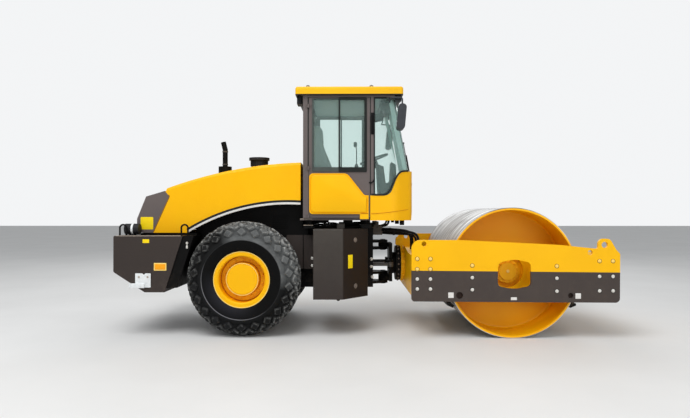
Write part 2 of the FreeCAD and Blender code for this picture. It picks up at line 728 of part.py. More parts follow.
def centre_link():
    """Steering lugs, back plate, oscillation flange and the ears of the steering rods."""
    pin_end = HUB_RING_X[1] - PIN_GAP
    half = LINK_PLATE_HALF
    pieces = [
        block(LINK_PLATE_X, (-half, half), (LOWER_LUG_Z[0], UPPER_LUG_Z[1])),
        rod_x(0, LINK_Z, NECK_RADIUS, LINK_PLATE_X[1], RING_X[0]),
        rod_x(0, LINK_Z, RING_RADIUS, RING_X[0], RING_X[1]),
        rod_x(0, LINK_Z, OSCILLATION_PIN_RADIUS, RING_X[1], pin_end),
    ]
    for z_low, z_high in (UPPER_LUG_Z, LOWER_LUG_Z):
        outline = lug_outline(LINK_PLATE_X[0] + LUG_SINK, LINK_LUG_ROOT, -1)
        bore = rod_z(PIN_X, 0, PIN_RADIUS + RUNNING, z_low - THROUGH, z_high + THROUGH)
        pieces.append(plan_plate(outline, z_low, z_high).cut(bore))
    for side in (-1, 1):
        root_y = side * (half - EAR_CORNERS[0])
        near_y = side * (STEER_Y - EAR_HALF)
        far_y = side * (STEER_Y + EAR_HALF)
        outline = [
            (LINK_PLATE_X[1], root_y),
            (LINK_PLATE_X[0], root_y),
            (STEER_ROD_PIN_X - EAR_HALF, near_y, EAR_CORNERS[0]),
            (STEER_ROD_PIN_X - EAR_HALF, far_y, EAR_CORNERS[1]),
            (STEER_ROD_PIN_X + EAR_HALF, far_y, EAR_CORNERS[1]),
        ]
        for z_low in ear_levels():
            pieces.append(plan_plate(outline, z_low, z_low + EAR_THICKNESS))
    return joined(pieces)


def steer_barrel(side):
    y = side * STEER_Y
    pin_x = STEER_BARREL_PIN_X
    mouth = pin_x + STEER_BARREL_LENGTH
    start = pin_x + STEER_EYE_RADIUS + STEER_NECK_LENGTH
    low = LINK_Z - STEER_EYE_HALF
    high = LINK_Z + STEER_EYE_HALF
    gland_height, gland_length = STEER_GLAND
    body = joined(
        [
            rod_z(pin_x, y, STEER_EYE_RADIUS, low, high),
            rod_x(y, LINK_Z, STEER_NECK_RADIUS, start - EYE_SINK * 2, start + EYE_SINK / 2),
            rod_x(y, LINK_Z, STEER_BARREL_RADIUS, start, mouth),
            rod_x(y, LINK_Z, STEER_BARREL_RADIUS + gland_height, mouth - gland_length, mouth),
        ]
    )
    hole = rod_z(pin_x, y, STEER_PIN_RADIUS + RUNNING, low - THROUGH, high + THROUGH)
    bore_radius = STEER_ROD_RADIUS + RUNNING
    bore = rod_x(y, LINK_Z, bore_radius, start + STEER_BARREL_END, mouth + THROUGH)
    return body.cut(hole).cut(bore)


def steer_rod(side):
    """Rod and the eye that turns between the ears."""
    y = side * STEER_Y
    low = LINK_Z - STEER_EYE_HALF
    eye = rod_z(STEER_ROD_PIN_X, y, STEER_EYE_RADIUS, low, LINK_Z + STEER_EYE_HALF)
    tip = STEER_ROD_PIN_X - STEER_EYE_RADIUS
    rod = rod_x(y, LINK_Z, STEER_ROD_RADIUS, tip - STEER_ROD_LENGTH, tip + EYE_SINK)
    return joined([eye, rod])


# Rear frame


def tail_front(z):
    """X of the tail's slanted front face, which keeps its gap to the tyre."""
    return TAIL_FRONT_X + TAIL_SLOPE * (z - TYRE_RADIUS)


def weight_front(z):
    """X of the counterweight's front face, behind the tail."""
    return tail_front(z) - TAIL_DEPTH


def frame_rail():
    """Right-hand rail, arched over the axle, with the ears of a steering cylinder."""
    upper, lower = RAIL_ARCH_HALF
    middle = TAIL_DEPTH / 2
    rail = side_plate(
        [
            (tail_front(RAIL_REAR_Z) - middle, RAIL_REAR_Z),
            (AXLE_X - lower, RAIL_REAR_Z, RAIL_CORNER),
            (AXLE_X - upper, RAIL_ARCH_Z, RAIL_CORNER),
            (AXLE_X + upper, RAIL_ARCH_Z, RAIL_CORNER),
            (AXLE_X + lower, RAIL_BOTTOM_Z, RAIL_CORNER),
            (FORK_PLATE_X[0], RAIL_BOTTOM_Z),
            (FORK_PLATE_X[0], RAIL_CAB_Z),
            (RAIL_STEP_X[1], RAIL_CAB_Z),
            (RAIL_STEP_X[0], RAIL_TOP_Z, RAIL_CORNER),
            (tail_front(RAIL_TOP_Z) - middle, RAIL_TOP_Z),
        ],
        -RAIL_Y[1],
        -RAIL_Y[0],
    )
    x = (STEER_BARREL_PIN_X - EAR_HALF, STEER_BARREL_PIN_X + EAR_HALF)
    outer_y = EAR_HALF - STEER_Y
    outline = [
        (x[0], -RAIL_Y[0]),
        (x[0], outer_y, EAR_CORNERS[1]),
        (x[1], outer_y, EAR_CORNERS[1]),
        (x[1], -RAIL_Y[0]),
    ]
    ears = [plan_plate(outline, z, z + EAR_THICKNESS) for z in ear_levels()]
    reach = EAR_GAP + EAR_THICKNESS
    pin = rod_z(STEER_BARREL_PIN_X, -STEER_Y, STEER_PIN_RADIUS, LINK_Z - reach, LINK_Z + reach)
    return joined([rail, pin] + ears)


def articulation_fork():
    """Front plate of the rear frame with two pairs of lugs and their steering pins."""
    plate = block(FORK_PLATE_X, (-RAIL_Y[1], RAIL_Y[1]), (RAIL_BOTTOM_Z, RAIL_CAB_Z))
    tool_x = (FORK_PLATE_X[0] - THROUGH, FORK_PLATE_X[1] + THROUGH)
    for side in (-1, 1):
        edges = sorted(side * y for y in STEER_WINDOW_Y)
        plate = plate.cut(block(tool_x, edges, STEER_WINDOW_Z))
    pieces = [plate]
    outline = lug_outline(FORK_PLATE_X[1] - LUG_SINK, FORK_LUG_ROOT, 1)
    for z_low, z_high in (UPPER_LUG_Z, LOWER_LUG_Z):
        low = z_low - PIN_GAP - FORK_THICKNESS
        high = z_high + PIN_GAP
        for level in (low, high):
            pieces.append(plan_plate(outline, level, level + FORK_THICKNESS))
        pieces.append(rod_z(PIN_X, 0, PIN_RADIUS, low - PIN_HEAD, high + FORK_THICKNESS + PIN_HEAD))
    return joined(pieces)


def tail_frame():
    """Slanted black box behind the wheels, with the plinth that the hood closes on."""
    slab = side_plate(
        [
            (weight_front(WEIGHT_TOP_Z), WEIGHT_TOP_Z),
            (tail_front(WEIGHT_TOP_Z), WEIGHT_TOP_Z),
            (tail_front(TAIL_BOTTOM_Z), TAIL_BOTTOM_Z),
            (weight_front(TAIL_BOTTOM_Z), TAIL_BOTTOM_Z),
        ],
        -TAIL_HALF,
        TAIL_HALF,
    )
    half = HOOD_HALF - PLINTH_INSET
    x = (PLINTH_X[0], weight_front(WEIGHT_TOP_Z) + PLINTH_X[1])
    plinth = block(x, (-half, half), (WEIGHT_TOP_Z, HOOD_SEAT_Z - MOVE_GAP))
    return joined([slab, plinth])


def counterweight():
    """Grey weight with the pedestals and pins of the hood's hinges."""
    body = side_plate(
        [
            (WEIGHT_REAR_X, WEIGHT_TOP_Z, WEIGHT_EDGE),
            (weight_front(WEIGHT_TOP_Z), WEIGHT_TOP_Z),
            (weight_front(WEIGHT_BOTTOM_Z), WEIGHT_BOTTOM_Z),
            (WEIGHT_REAR_X + WEIGHT_TOE, WEIGHT_BOTTOM_Z, WEIGHT_EDGE),
            (WEIGHT_REAR_X, WEIGHT_HEEL_Z, WEIGHT_EDGE),
        ],
        -WEIGHT_HALF,
        WEIGHT_HALF,
    )
    pieces = [body]
    half = HOOD_PEDESTAL_HALF
    x = (HOOD_PIVOT_X - HOOD_WEB_HALF, HOOD_PIVOT_X + HOOD_WEB_HALF)
    reach = half + PIN_GAP + HOOD_EAR_WIDTH + SEAT
    for y in (-HOOD_PIVOT_Y, HOOD_PIVOT_Y):
        z = (WEIGHT_TOP_Z - THROUGH, HOOD_PIVOT_Z + HOOD_PEDESTAL_TOP)
        pieces.append(block(x, (y - half, y + half), z))
        pieces.append(rod_y(HOOD_PIVOT_X, HOOD_PIVOT_Z, HOOD_PIN_RADIUS, y - reach, y + reach))
    return joined(pieces)


def hoop(x, y):
    """Lifting hoop: an inverted U of round bar."""
    left = x - HOOP_WIDTH / 2
    right = x + HOOP_WIDTH / 2
    top = WEIGHT_TOP_Z + HOOP_HEIGHT - HOOP_BAR
    points = [(left, y, WEIGHT_TOP_Z), (left, y, top), (right, y, top), (right, y, WEIGHT_TOP_Z)]
    return pipe(points, HOOP_BAR, HOOP_WIDTH * 0.48)


def hoops():
    front_x = weight_front(WEIGHT_TOP_Z) + HOOP_FRONT_STEP
    y = WEIGHT_HALF - HOOP_INSET
    return [hoop(x, side * y) for x in (HOOP_REAR_X, front_x) for side in (-1, 1)]


def rear_axle():
    """Axle beam with differential, pads under the rails and a stub for each wheel."""
    radius, drum_half, cone_end = DIFFERENTIAL
    half = [
        (radius, drum_half),
        (AXLE_RADIUS, cone_end),
        (AXLE_RADIUS, AXLE_BEAM_END),
        (AXLE_STUB_RADIUS, AXLE_BEAM_END),
        (AXLE_STUB_RADIUS, TYRE_Y + AXLE_STUB_END),
        (0, TYRE_Y + AXLE_STUB_END),
    ]
    profile = half + [(r, -y) for r, y in reversed(half)]
    pieces = [turned(profile, AXLE_X, TYRE_RADIUS)]
    x = (AXLE_X - AXLE_PAD_HALF, AXLE_X + AXLE_PAD_HALF)
    for side in (-1, 1):
        edges = sorted(side * y for y in AXLE_PAD_Y)
        pieces.append(block(x, edges, (TYRE_RADIUS, RAIL_ARCH_Z)))
    return joined(pieces)


def rim():
    """Right-hand wheel: rim barrel, recessed disc and planetary hub with its bore."""
    half = RIM_WIDTH / 2
    hollow, barrel = RIM_BARREL
    bore = AXLE_STUB_RADIUS + RUNNING
    cap = AXLE_STUB_END + PIN_GAP
    back_radius, back_y = WHEEL_HUB_BACK
    face = half - WHEEL_HUB_REST
    profile = [                     # radius, distance outward from the wheel's middle
        (bore, cap),
        (0, cap),
        (0, face),
        (WHEEL_HUB_FACE, face),
        (WHEEL_HUB_RADIUS, face - WHEEL_HUB_CHAMFER),
        (WHEEL_HUB_RADIUS, RIM_DISC_Y),
        (hollow, RIM_DISC_Y),
        (hollow, half - RIM_LIP),
        (hollow + RIM_LIP, half),
        (RIM_RADIUS, half),
        (RIM_RADIUS, half - RIM_LIP),
        (barrel, half - RIM_LIP * 2.3),
        (barrel, RIM_LIP * 2.3 - half),
        (RIM_RADIUS, RIM_LIP - half),
        (RIM_RADIUS, -half),
        (hollow + RIM_LIP, -half),
        (hollow, RIM_LIP - half),
        (hollow, RIM_DISC_Y - RIM_DISC_THICKNESS),
        (back_radius, RIM_DISC_Y - RIM_DISC_THICKNESS),
        (back_radius, -back_y),
        (bore, -back_y),
    ]
    return turned([(r, -TYRE_Y - outward) for r, outward in profile], AXLE_X, TYRE_RADIUS)


def tyre():
    """Right-hand tyre: bead, sidewall and a round crown."""
    half = TYRE_WIDTH / 2
    side = [                        # radius, distance from the wheel's middle
        (BEAD_RADIUS + SEAT, RIM_WIDTH / 2 - 40),
        (RIM_RADIUS + 40, half - 14),
        (RIM_RADIUS + 130, half),
        (TYRE_RADIUS - 140, half - 12),
        (TYRE_RADIUS - 75, half - 40),
        (TYRE_RADIUS - 25, half - 122),
        (TYRE_RADIUS, 40),
    ]
    profile = side + [(r, -y) for r, y in reversed(side)]
    return turned([(r, y - TYRE_Y) for r, y in profile], AXLE_X, TYRE_RADIUS)


def side_tank():
    """Right-hand tank with its front corner cut off for the turning drum frame."""
    rear, corner, front = TANK_CORNERS
    return plan_plate(
        [
            (TANK_REAR_X, -RAIL_Y[1]),
            (TANK_REAR_X, -TANK_OUTER_Y, rear),
            (TANK_CORNER_X, -TANK_OUTER_Y, corner),
            (TANK_FRONT_X, -TANK_FRONT_Y, front),
            (TANK_FRONT_X, -RAIL_Y[1]),
        ],
        TANK_Z[0],
        TANK_Z[1],
    )


def left_tank():
    """Left-hand tank with two steps cut into its outer face."""
    body = mirrored(side_tank())
    x = (TANK_REAR_X + STEP_MARGINS[0], TANK_CORNER_X - STEP_MARGINS[1])
    y = (TANK_OUTER_Y - STEP_DEPTH, TANK_OUTER_Y + THROUGH)
    for rise in STEP_RISES:
        low = TANK_Z[0] + rise
        body = body.cut(block(x, y, (low, low + STEP_HEIGHT)))
    return body


def engine():
    """Closed in by the hood: one plain block for engine, pump and radiator."""
    gap, front = ENGINE_X
    rear = tail_front(WEIGHT_TOP_Z) + gap
    y = (-ENGINE_HALF, ENGINE_HALF)
    body = block((rear, front), y, (RAIL_ARCH_Z + ENGINE_LIFT, ENGINE_TOP_Z))
    reach = RAIL_Y[0] - SEAT
    z = (RAIL_ARCH_Z + ENGINE_LIFT + MOVE_GAP, RAIL_TOP_Z - MOVE_GAP)
    feet = [
        block((x, x + ENGINE_FOOT), (-reach, reach), z)
        for x in (rear + ENGINE_FEET[0], front - ENGINE_FEET[1])
    ]
    return joined([body] + feet)


def engine_side_panel():
    """Black louvred panel behind the right wheel, up behind the hood's edge."""
    front, lower_front, step = BAY_PANEL_STEP
    low = RAIL_TOP_Z + BAY_PANEL_LIFT
    inner, outer = BAY_PANEL_Y
    top = [(x, 2 * TYRE_RADIUS + height) for x, height in BAY_PANEL_TOP]
    outline = [(top[-1][0], low), (lower_front, low), (lower_front, step), (front, step)]
    panel = side_plate(outline + top, -outer, -inner).cut(tail_frame())
    y = (-outer - THROUGH, -outer + LOUVRE_DEPTH)
    slots = [block(LOUVRE_X, y, (z, z + LOUVRE_HEIGHT)) for z in LOUVRES]
    return panel.cut(slots)


# Hood


def hood_body(inset):
    """Side outline of the hood drawn in by an inset, extruded over its width."""
    opened = HOOD_OPEN if inset else 0
    y = HOOD_HALF - inset
    crown = [V(x, -y, z - inset) for x, z in HOOD_CROWN]
    arch = [V(x, -y, z - opened) for x, z in HOOD_ARCH]
    crown[0].x += inset
    crown[2].x += opened
    arch[0].x += opened
    rear_low = V(HOOD_LOW[0] + inset, -y, HOOD_LOW[1] - opened)
    notch = V(HOOD_NOTCH[0] + inset, -y, HOOD_NOTCH[1])
    lip = [] if inset else [V(HOOD_LIP[0], -y, HOOD_LIP[1])]
    corners = [arch[2], rear_low, notch] + lip + [crown[0]]
    edges = [Part.LineSegment(a, b).toShape() for a, b in zip(corners, corners[1:])]
    edges += [
        Part.Arc(crown[0], crown[1], crown[2]).toShape(),
        Part.LineSegment(crown[2], arch[0]).toShape(),
        Part.Arc(arch[0], arch[1], arch[2]).toShape(),
    ]
    body = Part.Face(Part.Wire(edges)).extrude(V(0, 2 * y, 0))
    length = crown[2].x - crown[0].x
    shoulders = [
        edge
        for edge in body.Edges
        if edge.BoundBox.XLength > length / 2 and edge.BoundBox.ZMax > HOOD_CROWN[1][1]
    ]
    return body.makeFillet(HOOD_SHOULDER - inset, shoulders)


def hood_shell():
    return hood_body(0).cut(hood_body(HOOD_WALL))


def grille_face(z):
    """X of the grey rear end's slanted back at a height."""
    lean = (GRILLE_TOP[0] - GRILLE_BEND[0]) / (GRILLE_TOP[1] - GRILLE_BEND[1])
    return GRILLE_BEND[0] + lean * (z - GRILLE_BEND[1])


def hood_grille():
    """Grey rear end of the hood with its louvres and hinge knuckles."""
    outer = side_plate(
        [
            (HOOD_REAR_X, HOOD_SEAT_Z),
            GRILLE_BEND,
            GRILLE_TOP,
            GRILLE_CREST,
            (HOOD_LIP[0] - SEAT, HOOD_LIP[1]),
            (HOOD_NOTCH[0] - SEAT, HOOD_NOTCH[1]),
            (HOOD_LOW[0] - SEAT, HOOD_LOW[1]),
        ],
        -HOOD_HALF,
        HOOD_HALF,
    )
    wall = GRILLE_WALL
    ahead = HOOD_NOTCH[0] + wall
    half = HOOD_HALF - HOOD_WALL
    inner = side_plate(
        [
            (HOOD_REAR_X + wall, HOOD_SEAT_Z - THROUGH),
            (HOOD_REAR_X + wall, GRILLE_BEND[1]),
            (GRILLE_TOP[0] + wall, GRILLE_TOP[1] - wall),
            (ahead, GRILLE_CREST[1] - wall / 2),
            (ahead, HOOD_SEAT_Z - THROUGH),
        ],
        -half,
        half,
    )
    body = outer.cut(inner)
    slot_y = (-GRILLE_SLOT_HALF, GRILLE_SLOT_HALF)
    for low in GRILLE_SLOTS:
        x = (HOOD_REAR_X - THROUGH, grille_face(low) + GRILLE_SLOT_DEPTH)
        body = body.cut(block(x, slot_y, (low, low + GRILLE_SLOT_HEIGHT)))
    near = HOOD_PEDESTAL_HALF + PIN_GAP
    clear = near + HOOD_EAR_WIDTH + MOVE_GAP
    notch_x = (HOOD_REAR_X - THROUGH, HOOD_REAR_X + wall + THROUGH)
    notch_z = (HOOD_SEAT_Z - THROUGH, HOOD_SEAT_Z + HOOD_NOTCH_HEIGHT)
    web_x = (HOOD_PIVOT_X - HOOD_WEB_HALF, HOOD_PIVOT_X + HOOD_EAR_RADIUS)
    web_z = (HOOD_PIVOT_Z, notch_z[1] + MOVE_GAP)
    ears = []
    for y in (-HOOD_PIVOT_Y, HOOD_PIVOT_Y):
        body = body.cut(block(notch_x, (y - clear, y + clear), notch_z))
        for low in (y - near - HOOD_EAR_WIDTH, y + near):
            high = low + HOOD_EAR_WIDTH
            knuckle = rod_y(HOOD_PIVOT_X, HOOD_PIVOT_Z, HOOD_EAR_RADIUS, low, high)
            web = block(web_x, (low, high), web_z)
            bore_radius = HOOD_PIN_RADIUS + RUNNING
            bore = rod_y(HOOD_PIVOT_X, HOOD_PIVOT_Z, bore_radius, low - THROUGH, high + THROUGH)
            ears.append(joined([knuckle, web]).cut(bore))
    return joined([body] + ears)


def exhaust_stack():
    radius, low, high = EXHAUST_PIPE
    collar = rod_z(EXHAUST_X, 0, *EXHAUST_COLLAR)
    straight = rod_z(EXHAUST_X, 0, radius, low, high)
    start = V(EXHAUST_X, 0, high - EXHAUST_TIP_OVERLAP)
    tip = Part.makeCylinder(radius, EXHAUST_TIP, start, V(-EXHAUST_LEAN, 0, 1))
    return joined([collar, straight, tip]).cut(hood_body(0))


def pre_cleaner():
    steps = [rod_z(PRE_CLEANER_X, 0, *step) for step in PRE_CLEANER]
    return joined(steps).cut(hood_body(0))


# Cab


def cab_beams():
    """Cross beams over the rails with the rubber mounts of the cab."""
    solids = []
    top = RAIL_CAB_Z + CAB_BEAM_HEIGHT
    for x in CAB_BEAMS_X:
        pieces = [block(x, (-CAB_BEAM_HALF, CAB_BEAM_HALF), (RAIL_CAB_Z, top))]
        for y in (-CAB_MOUNT_Y, CAB_MOUNT_Y):
            pieces.append(rod_z(sum(x) / 2, y, CAB_MOUNT_RADIUS, top, CAB_FLOOR_Z[0]))
        solids.append(joined(pieces))
    return solids


def nose_plan(inset, z_low, z_high):
    """Plan of the cab front: sides draw in a little to a bowed front panel."""
    half = CAB_HALF - inset
    front = NOSE_FRONT_X - inset
    rear = POST_X[0] - (NOSE_LAP if inset else 0)
    right = [(rear, -half)] + [(front - x, y - half, radius) for x, y, radius in NOSE_PLAN]
    left = [(point[0], -point[1]) + tuple(point[2:]) for point in reversed(right)]
    return plan_plate(right + [(front, 0, NOSE_BOW)] + left, z_low, z_high)


def nose_profile(lift):
    """Side outline under the glass line, raised by a lift."""
    bottom_draw, top_draw = NOSE_DRAW
    (knee_x, knee_drop, knee), (heel_x, heel_drop, heel) = NOSE_CORNERS
    rear = POST_X[0] - NOSE_LAP
    low, high = NOSE_Z
    side = CAB_HALF + NOSE_LAP
    return side_plate(
        [
            (rear, low),
            (NOSE_FRONT_X - bottom_draw, low),
            (NOSE_FRONT_X, NOSE_BULGE_Z),
            (NOSE_FRONT_X - top_draw, high + lift),
            (knee_x, high - knee_drop + lift, knee),
            (heel_x, NOSE_SILL_Z - heel_drop + lift, heel),
            (rear, NOSE_SILL_Z + lift),
        ],
        -side,
        side,
    )


def cab_nose():
    low, high = NOSE_Z
    outer = nose_plan(0, low, high + NOSE_LAP)
    inner = nose_plan(NOSE_WALL, low - THROUGH, high + NOSE_LAP + THROUGH)
    return outer.cut(inner).common(nose_profile(0))


def cab_floor():
    """Floor plate with a ledge at each rear corner."""
    plan = nose_plan(NOSE_WALL + SEAT, CAB_FLOOR_Z[0], CAB_FLOOR_Z[1])
    half = CAB_HALF - NOSE_WALL - SEAT
    rear = block((CAB_REAR_X, POST_X[0]), (-half, half), CAB_FLOOR_Z)
    ledge_z = (CAB_FLOOR_Z[0], CAB_FLOOR_Z[0] + CAB_LEDGE_THICKNESS)
    ledge = block((CAB_LEDGE_X, CAB_REAR_X + NOSE_LAP), (-half, -CAB_LEDGE_Y), ledge_z)
    return joined([plan, rear] + both_sides(ledge))


def hinge_leaf(x, z):
    """Flat leaf of a door hinge on the right-hand side, over a height range."""
    thickness = HINGE_LEAF[1]
    return block(x, (-CAB_HALF - thickness, -CAB_HALF + thickness), z)


def cab_rear_wall():
    wall = block((CAB_REAR_X, REAR_WALL_X), (-CAB_HALF, CAB_HALF), (CAB_FLOOR_Z[1], CAB_TOP_Z))
    wall = wall.cut(rear_opening(0, CAB_REAR_X - THROUGH, REAR_WALL_X + THROUGH))
    on_wall, _, past = HINGE_BRIDGE
    knuckles = []
    for z in HINGE_Z:
        low = z - HINGE_HALF
        bridge_y = (-HINGE_Y - past, -CAB_HALF + THROUGH)
        hinge = [
            hinge_leaf((REAR_WALL_X - HINGE_LEAF[0], REAR_WALL_X), (low, z)),
            rod_z(HINGE_X, -HINGE_Y, HINGE_RADIUS, low, z),
            block((REAR_WALL_X - on_wall, HINGE_X), bridge_y, (low, z)),
            rod_z(
                HINGE_X,
                -HINGE_Y,
                HINGE_PIN_RADIUS,
                z - HINGE_PIN_ENDS[0],
                z + HINGE_HALF - HINGE_PIN_ENDS[1],
            ),
        ]
        knuckles += both_sides(joined(hinge))
    return joined([wall] + knuckles)


def rear_opening(inset, x_from, x_to):
    """Rounded rear window shape, drawn in by an inset."""
    half = REAR_WINDOW_HALF - inset
    low = REAR_WINDOW_Z[0] + inset
    high = REAR_WINDOW_Z[1] - inset
    corners = ((-half, low), (half, low), (half, high), (-half, high))
    return cross_plate([corner + (REAR_WINDOW_CORNER,) for corner in corners], x_from, x_to)


def cab_frame():
    """Door posts and the ring that carries the roof."""
    z = (RING_BOTTOM_Z, CAB_TOP_Z)
    ring = block((REAR_WALL_X, RING_FRONT_X[1]), (-CAB_HALF, CAB_HALF), z)
    inner = CAB_HALF - RING_BAR
    hollow_x = (REAR_WALL_X - THROUGH, RING_FRONT_X[0])
    hollow = block(hollow_x, (-inner, inner), (z[0] - THROUGH, z[1] + THROUGH))
    post = block(POST_X, (-CAB_HALF, -CAB_HALF + POST_DEPTH), (NOSE_SILL_Z, CAB_TOP_Z))
    return joined([ring.cut(hollow)] + both_sides(post))


def cab_roof():
    """Yellow roof with four lifting eyes."""
    roof = block(ROOF_X, (-ROOF_HALF, ROOF_HALF), ROOF_Z)
    edges = [edge for edge in roof.Edges if edge.BoundBox.ZMax > ROOF_Z[0] + THROUGH]
    pieces = [roof.makeFillet(ROOF_EDGE, edges)]
    radius, hole, height, half = ROOF_EYE
    z = ROOF_Z[1] + height
    for x in ROOF_EYES_X:
        for y in (-ROOF_EYE_Y, ROOF_EYE_Y):
            eye = rod_y(x, z, radius, y - half, y + half)
            pieces.append(eye.cut(rod_y(x, z, hole, y - half - THROUGH, y + half + THROUGH)))
    return joined(pieces)


def glass_strip(outer, shift):
    """Closed plan strip between an arc through three points and its shifted copy."""
    inner = [point + shift for point in outer]
    return Part.Wire(
        [
            Part.Arc(*outer).toShape(),
            Part.LineSegment(outer[2], inner[2]).toShape(),
            Part.Arc(inner[2], inner[1], inner[0]).toShape(),
            Part.LineSegment(inner[0], outer[0]).toShape(),
        ]
    )


def windscreen():
    strips = []
    for x, z in zip(SCREEN_X, SCREEN_Z):
        ends = x - SCREEN_BOW
        outer = [V(ends, -SCREEN_HALF, z), V(x, 0, z), V(ends, SCREEN_HALF, z)]
        strips.append(glass_strip(outer, V(-GLASS, 0, 0)))
    return Part.makeLoft(strips, True, True).cut(nose_profile(SEAT))


def quarter_glass():
    """Right-hand glass that bows from the door post round to the windscreen."""
    strips = []
    for z, bends in ((NOSE_SILL_Z, QUARTER_LOW), (RING_BOTTOM_Z, QUARTER_HIGH)):
        outer = [V(POST_X[1] + SEAT, QUARTER_INSET - CAB_HALF, z)]
        outer += [V(x, y - CAB_HALF, z) for x, y in bends]
        strips.append(glass_strip(outer, V(0, GLASS, 0)))
    return Part.makeLoft(strips, True, True).cut(nose_profile(SEAT))


def cab_glass():
    glass_x = CAB_REAR_X + REAR_GLASS_DEPTH
    rear = rear_opening(SEAT, glass_x, glass_x + GLASS)
    return [windscreen(), rear] + both_sides(quarter_glass())


def side_window(inset, y_from, y_to):
    x = (SIDE_WINDOW_X[0] + inset, SIDE_WINDOW_X[1] - inset)
    z = (SIDE_WINDOW_Z[0] + inset, SIDE_WINDOW_Z[1] - inset)
    corners = ((x[0], z[0]), (x[1], z[0]), (x[1], z[1]), (x[0], z[1]))
    return side_plate([corner + (SIDE_WINDOW_CORNER,) for corner in corners], y_from, y_to)


def door():
    """Right-hand door leaf with its window hole and hinges."""
    x = (DOOR_REAR_X, DOOR_FRONT_X)
    corners = ((x[0], DOOR_Z[0]), (x[1], DOOR_Z[0]), (x[1], DOOR_Z[1]), (x[0], DOOR_Z[1]))
    inner_y = -CAB_HALF + DOOR_THICKNESS
    leaf = side_plate([corner + (DOOR_CORNER,) for corner in corners], -CAB_HALF, inner_y)
    pieces = [leaf.cut(side_window(0, -CAB_HALF - THROUGH, inner_y + THROUGH))]
    _, on_door, _ = HINGE_BRIDGE
    for z in HINGE_Z:
        low = z + HINGE_STEP
        high = z + HINGE_HALF
        hinge = [
            hinge_leaf((DOOR_REAR_X, DOOR_REAR_X + HINGE_LEAF[0]), (low, high)),
            block((HINGE_X, HINGE_X + on_door), (-HINGE_Y, -CAB_HALF), (low, high)),
            rod_z(HINGE_X, -HINGE_Y, HINGE_RADIUS, low, high),
        ]
        bore_radius = HINGE_PIN_RADIUS + RUNNING
        bore = rod_z(HINGE_X, -HINGE_Y, bore_radius, low - THROUGH, high + THROUGH)
        pieces.append(joined(hinge).cut(bore))
    return joined(pieces)


def door_glass():
    near = -CAB_HALF + DOOR_GLASS_DEPTH
    return side_window(SEAT, near, near + GLASS)


def door_skin():
    """Raised yellow lower panel of the right-hand door."""
    return side_plate(SKIN, -CAB_HALF - SKIN_THICKNESS, -CAB_HALF - SEAT)


# Cab fittings


def seat_base():
    return joined([block(*SEAT_BASE), block(*SEAT_PAN)])


def seat_cushions():
    return [block(*CUSHION), side_plate(SEAT_BACK, -BACK_HALF, BACK_HALF)]


def steering_console():
    """Console, column and a steering wheel with a six-sided rim section."""
    console = side_plate(CONSOLE, -CONSOLE_HALF, CONSOLE_HALF)
    radius, length = STEERING_COLUMN
    foot = STEERING_CENTRE - STEERING_AXIS * length
    column = Part.makeCylinder(radius, length, foot, STEERING_AXIS)
    wheel_radius, thick = STEERING_WHEEL
    outward = V(0, 1, 0)
    section = []
    for step in range(6):
        turn = math.radians(60 * step)
        across = outward * (wheel_radius + thick * math.cos(turn))
        section.append(STEERING_CENTRE + across + STEERING_AXIS * (thick * math.sin(turn)))
    face = Part.Face(Part.makePolygon(section + section[:1]))
    wheel = face.revolve(STEERING_CENTRE, STEERING_AXIS, 360)
    spoke_radius, spoke_half = STEERING_SPOKE
    spoke_start = STEERING_CENTRE - outward * spoke_half
    spoke = Part.makeCylinder(spoke_radius, 2 * spoke_half, spoke_start, outward)
    return joined([console, column, wheel, spoke])


def mirror():
    """Right-hand mirror head on its bent arm."""
    top_x, top_z = MIRROR_TOP
    bottom_x, bottom_z = MIRROR_BOTTOM
    depth = MIRROR_DEPTH
    corners = (
        (bottom_x - depth, bottom_z),
        (bottom_x + depth, bottom_z),
        (top_x + depth, top_z),
        (top_x - depth, top_z),
    )
    outline = [corner + (MIRROR_CORNER,) for corner in corners]
    head = side_plate(outline, -MIRROR_Y - MIRROR_HALF, -MIRROR_Y + MIRROR_HALF)
    root_y = -CAB_HALF + RING_BAR / 2
    arm_z = RING_BOTTOM_Z - MIRROR_ARM_DROP
    arm = pipe(
        [
            (MIRROR_ARM_X, root_y, RING_BOTTOM_Z - SEAT),
            (MIRROR_ARM_X, root_y, arm_z),
            (MIRROR_ARM_X, -MIRROR_Y, arm_z),
            (top_x, -MIRROR_Y, arm_z),
            (top_x, -MIRROR_Y, top_z - MIRROR_ARM_RADIUS),
        ],
        MIRROR_ARM_RADIUS,
        MIRROR_ARM_BEND,
    )
    return joined([head, arm])


def deck_lamp():
    """Round lamp on the right of the counterweight's deck."""
    half_length, half_width, height = DECK_LAMP_FOOT
    y = -DECK_LAMP_Y
    z = WEIGHT_TOP_Z + height + DECK_LAMP_RADIUS
    middle = sum(DECK_LAMP_X) / 2
    foot_x = (middle - half_length, middle + half_length)
    foot = block(foot_x, (y - half_width, y + half_width), (WEIGHT_TOP_Z, z))
    return joined([rod_x(y, z, DECK_LAMP_RADIUS, *DECK_LAMP_X), foot])


def work_lamps():
    """Lamps under the roof's front and rear edges and on the deck."""
    lamps = both_sides(deck_lamp())
    for (x, height, half), y in ((FRONT_LAMP, FRONT_LAMP_Y), (REAR_LAMP, REAR_LAMP_Y)):
        lamps += both_sides(block(x, (-y - half, -y + half), (CAB_TOP_Z - height, CAB_TOP_Z)))
    return lamps


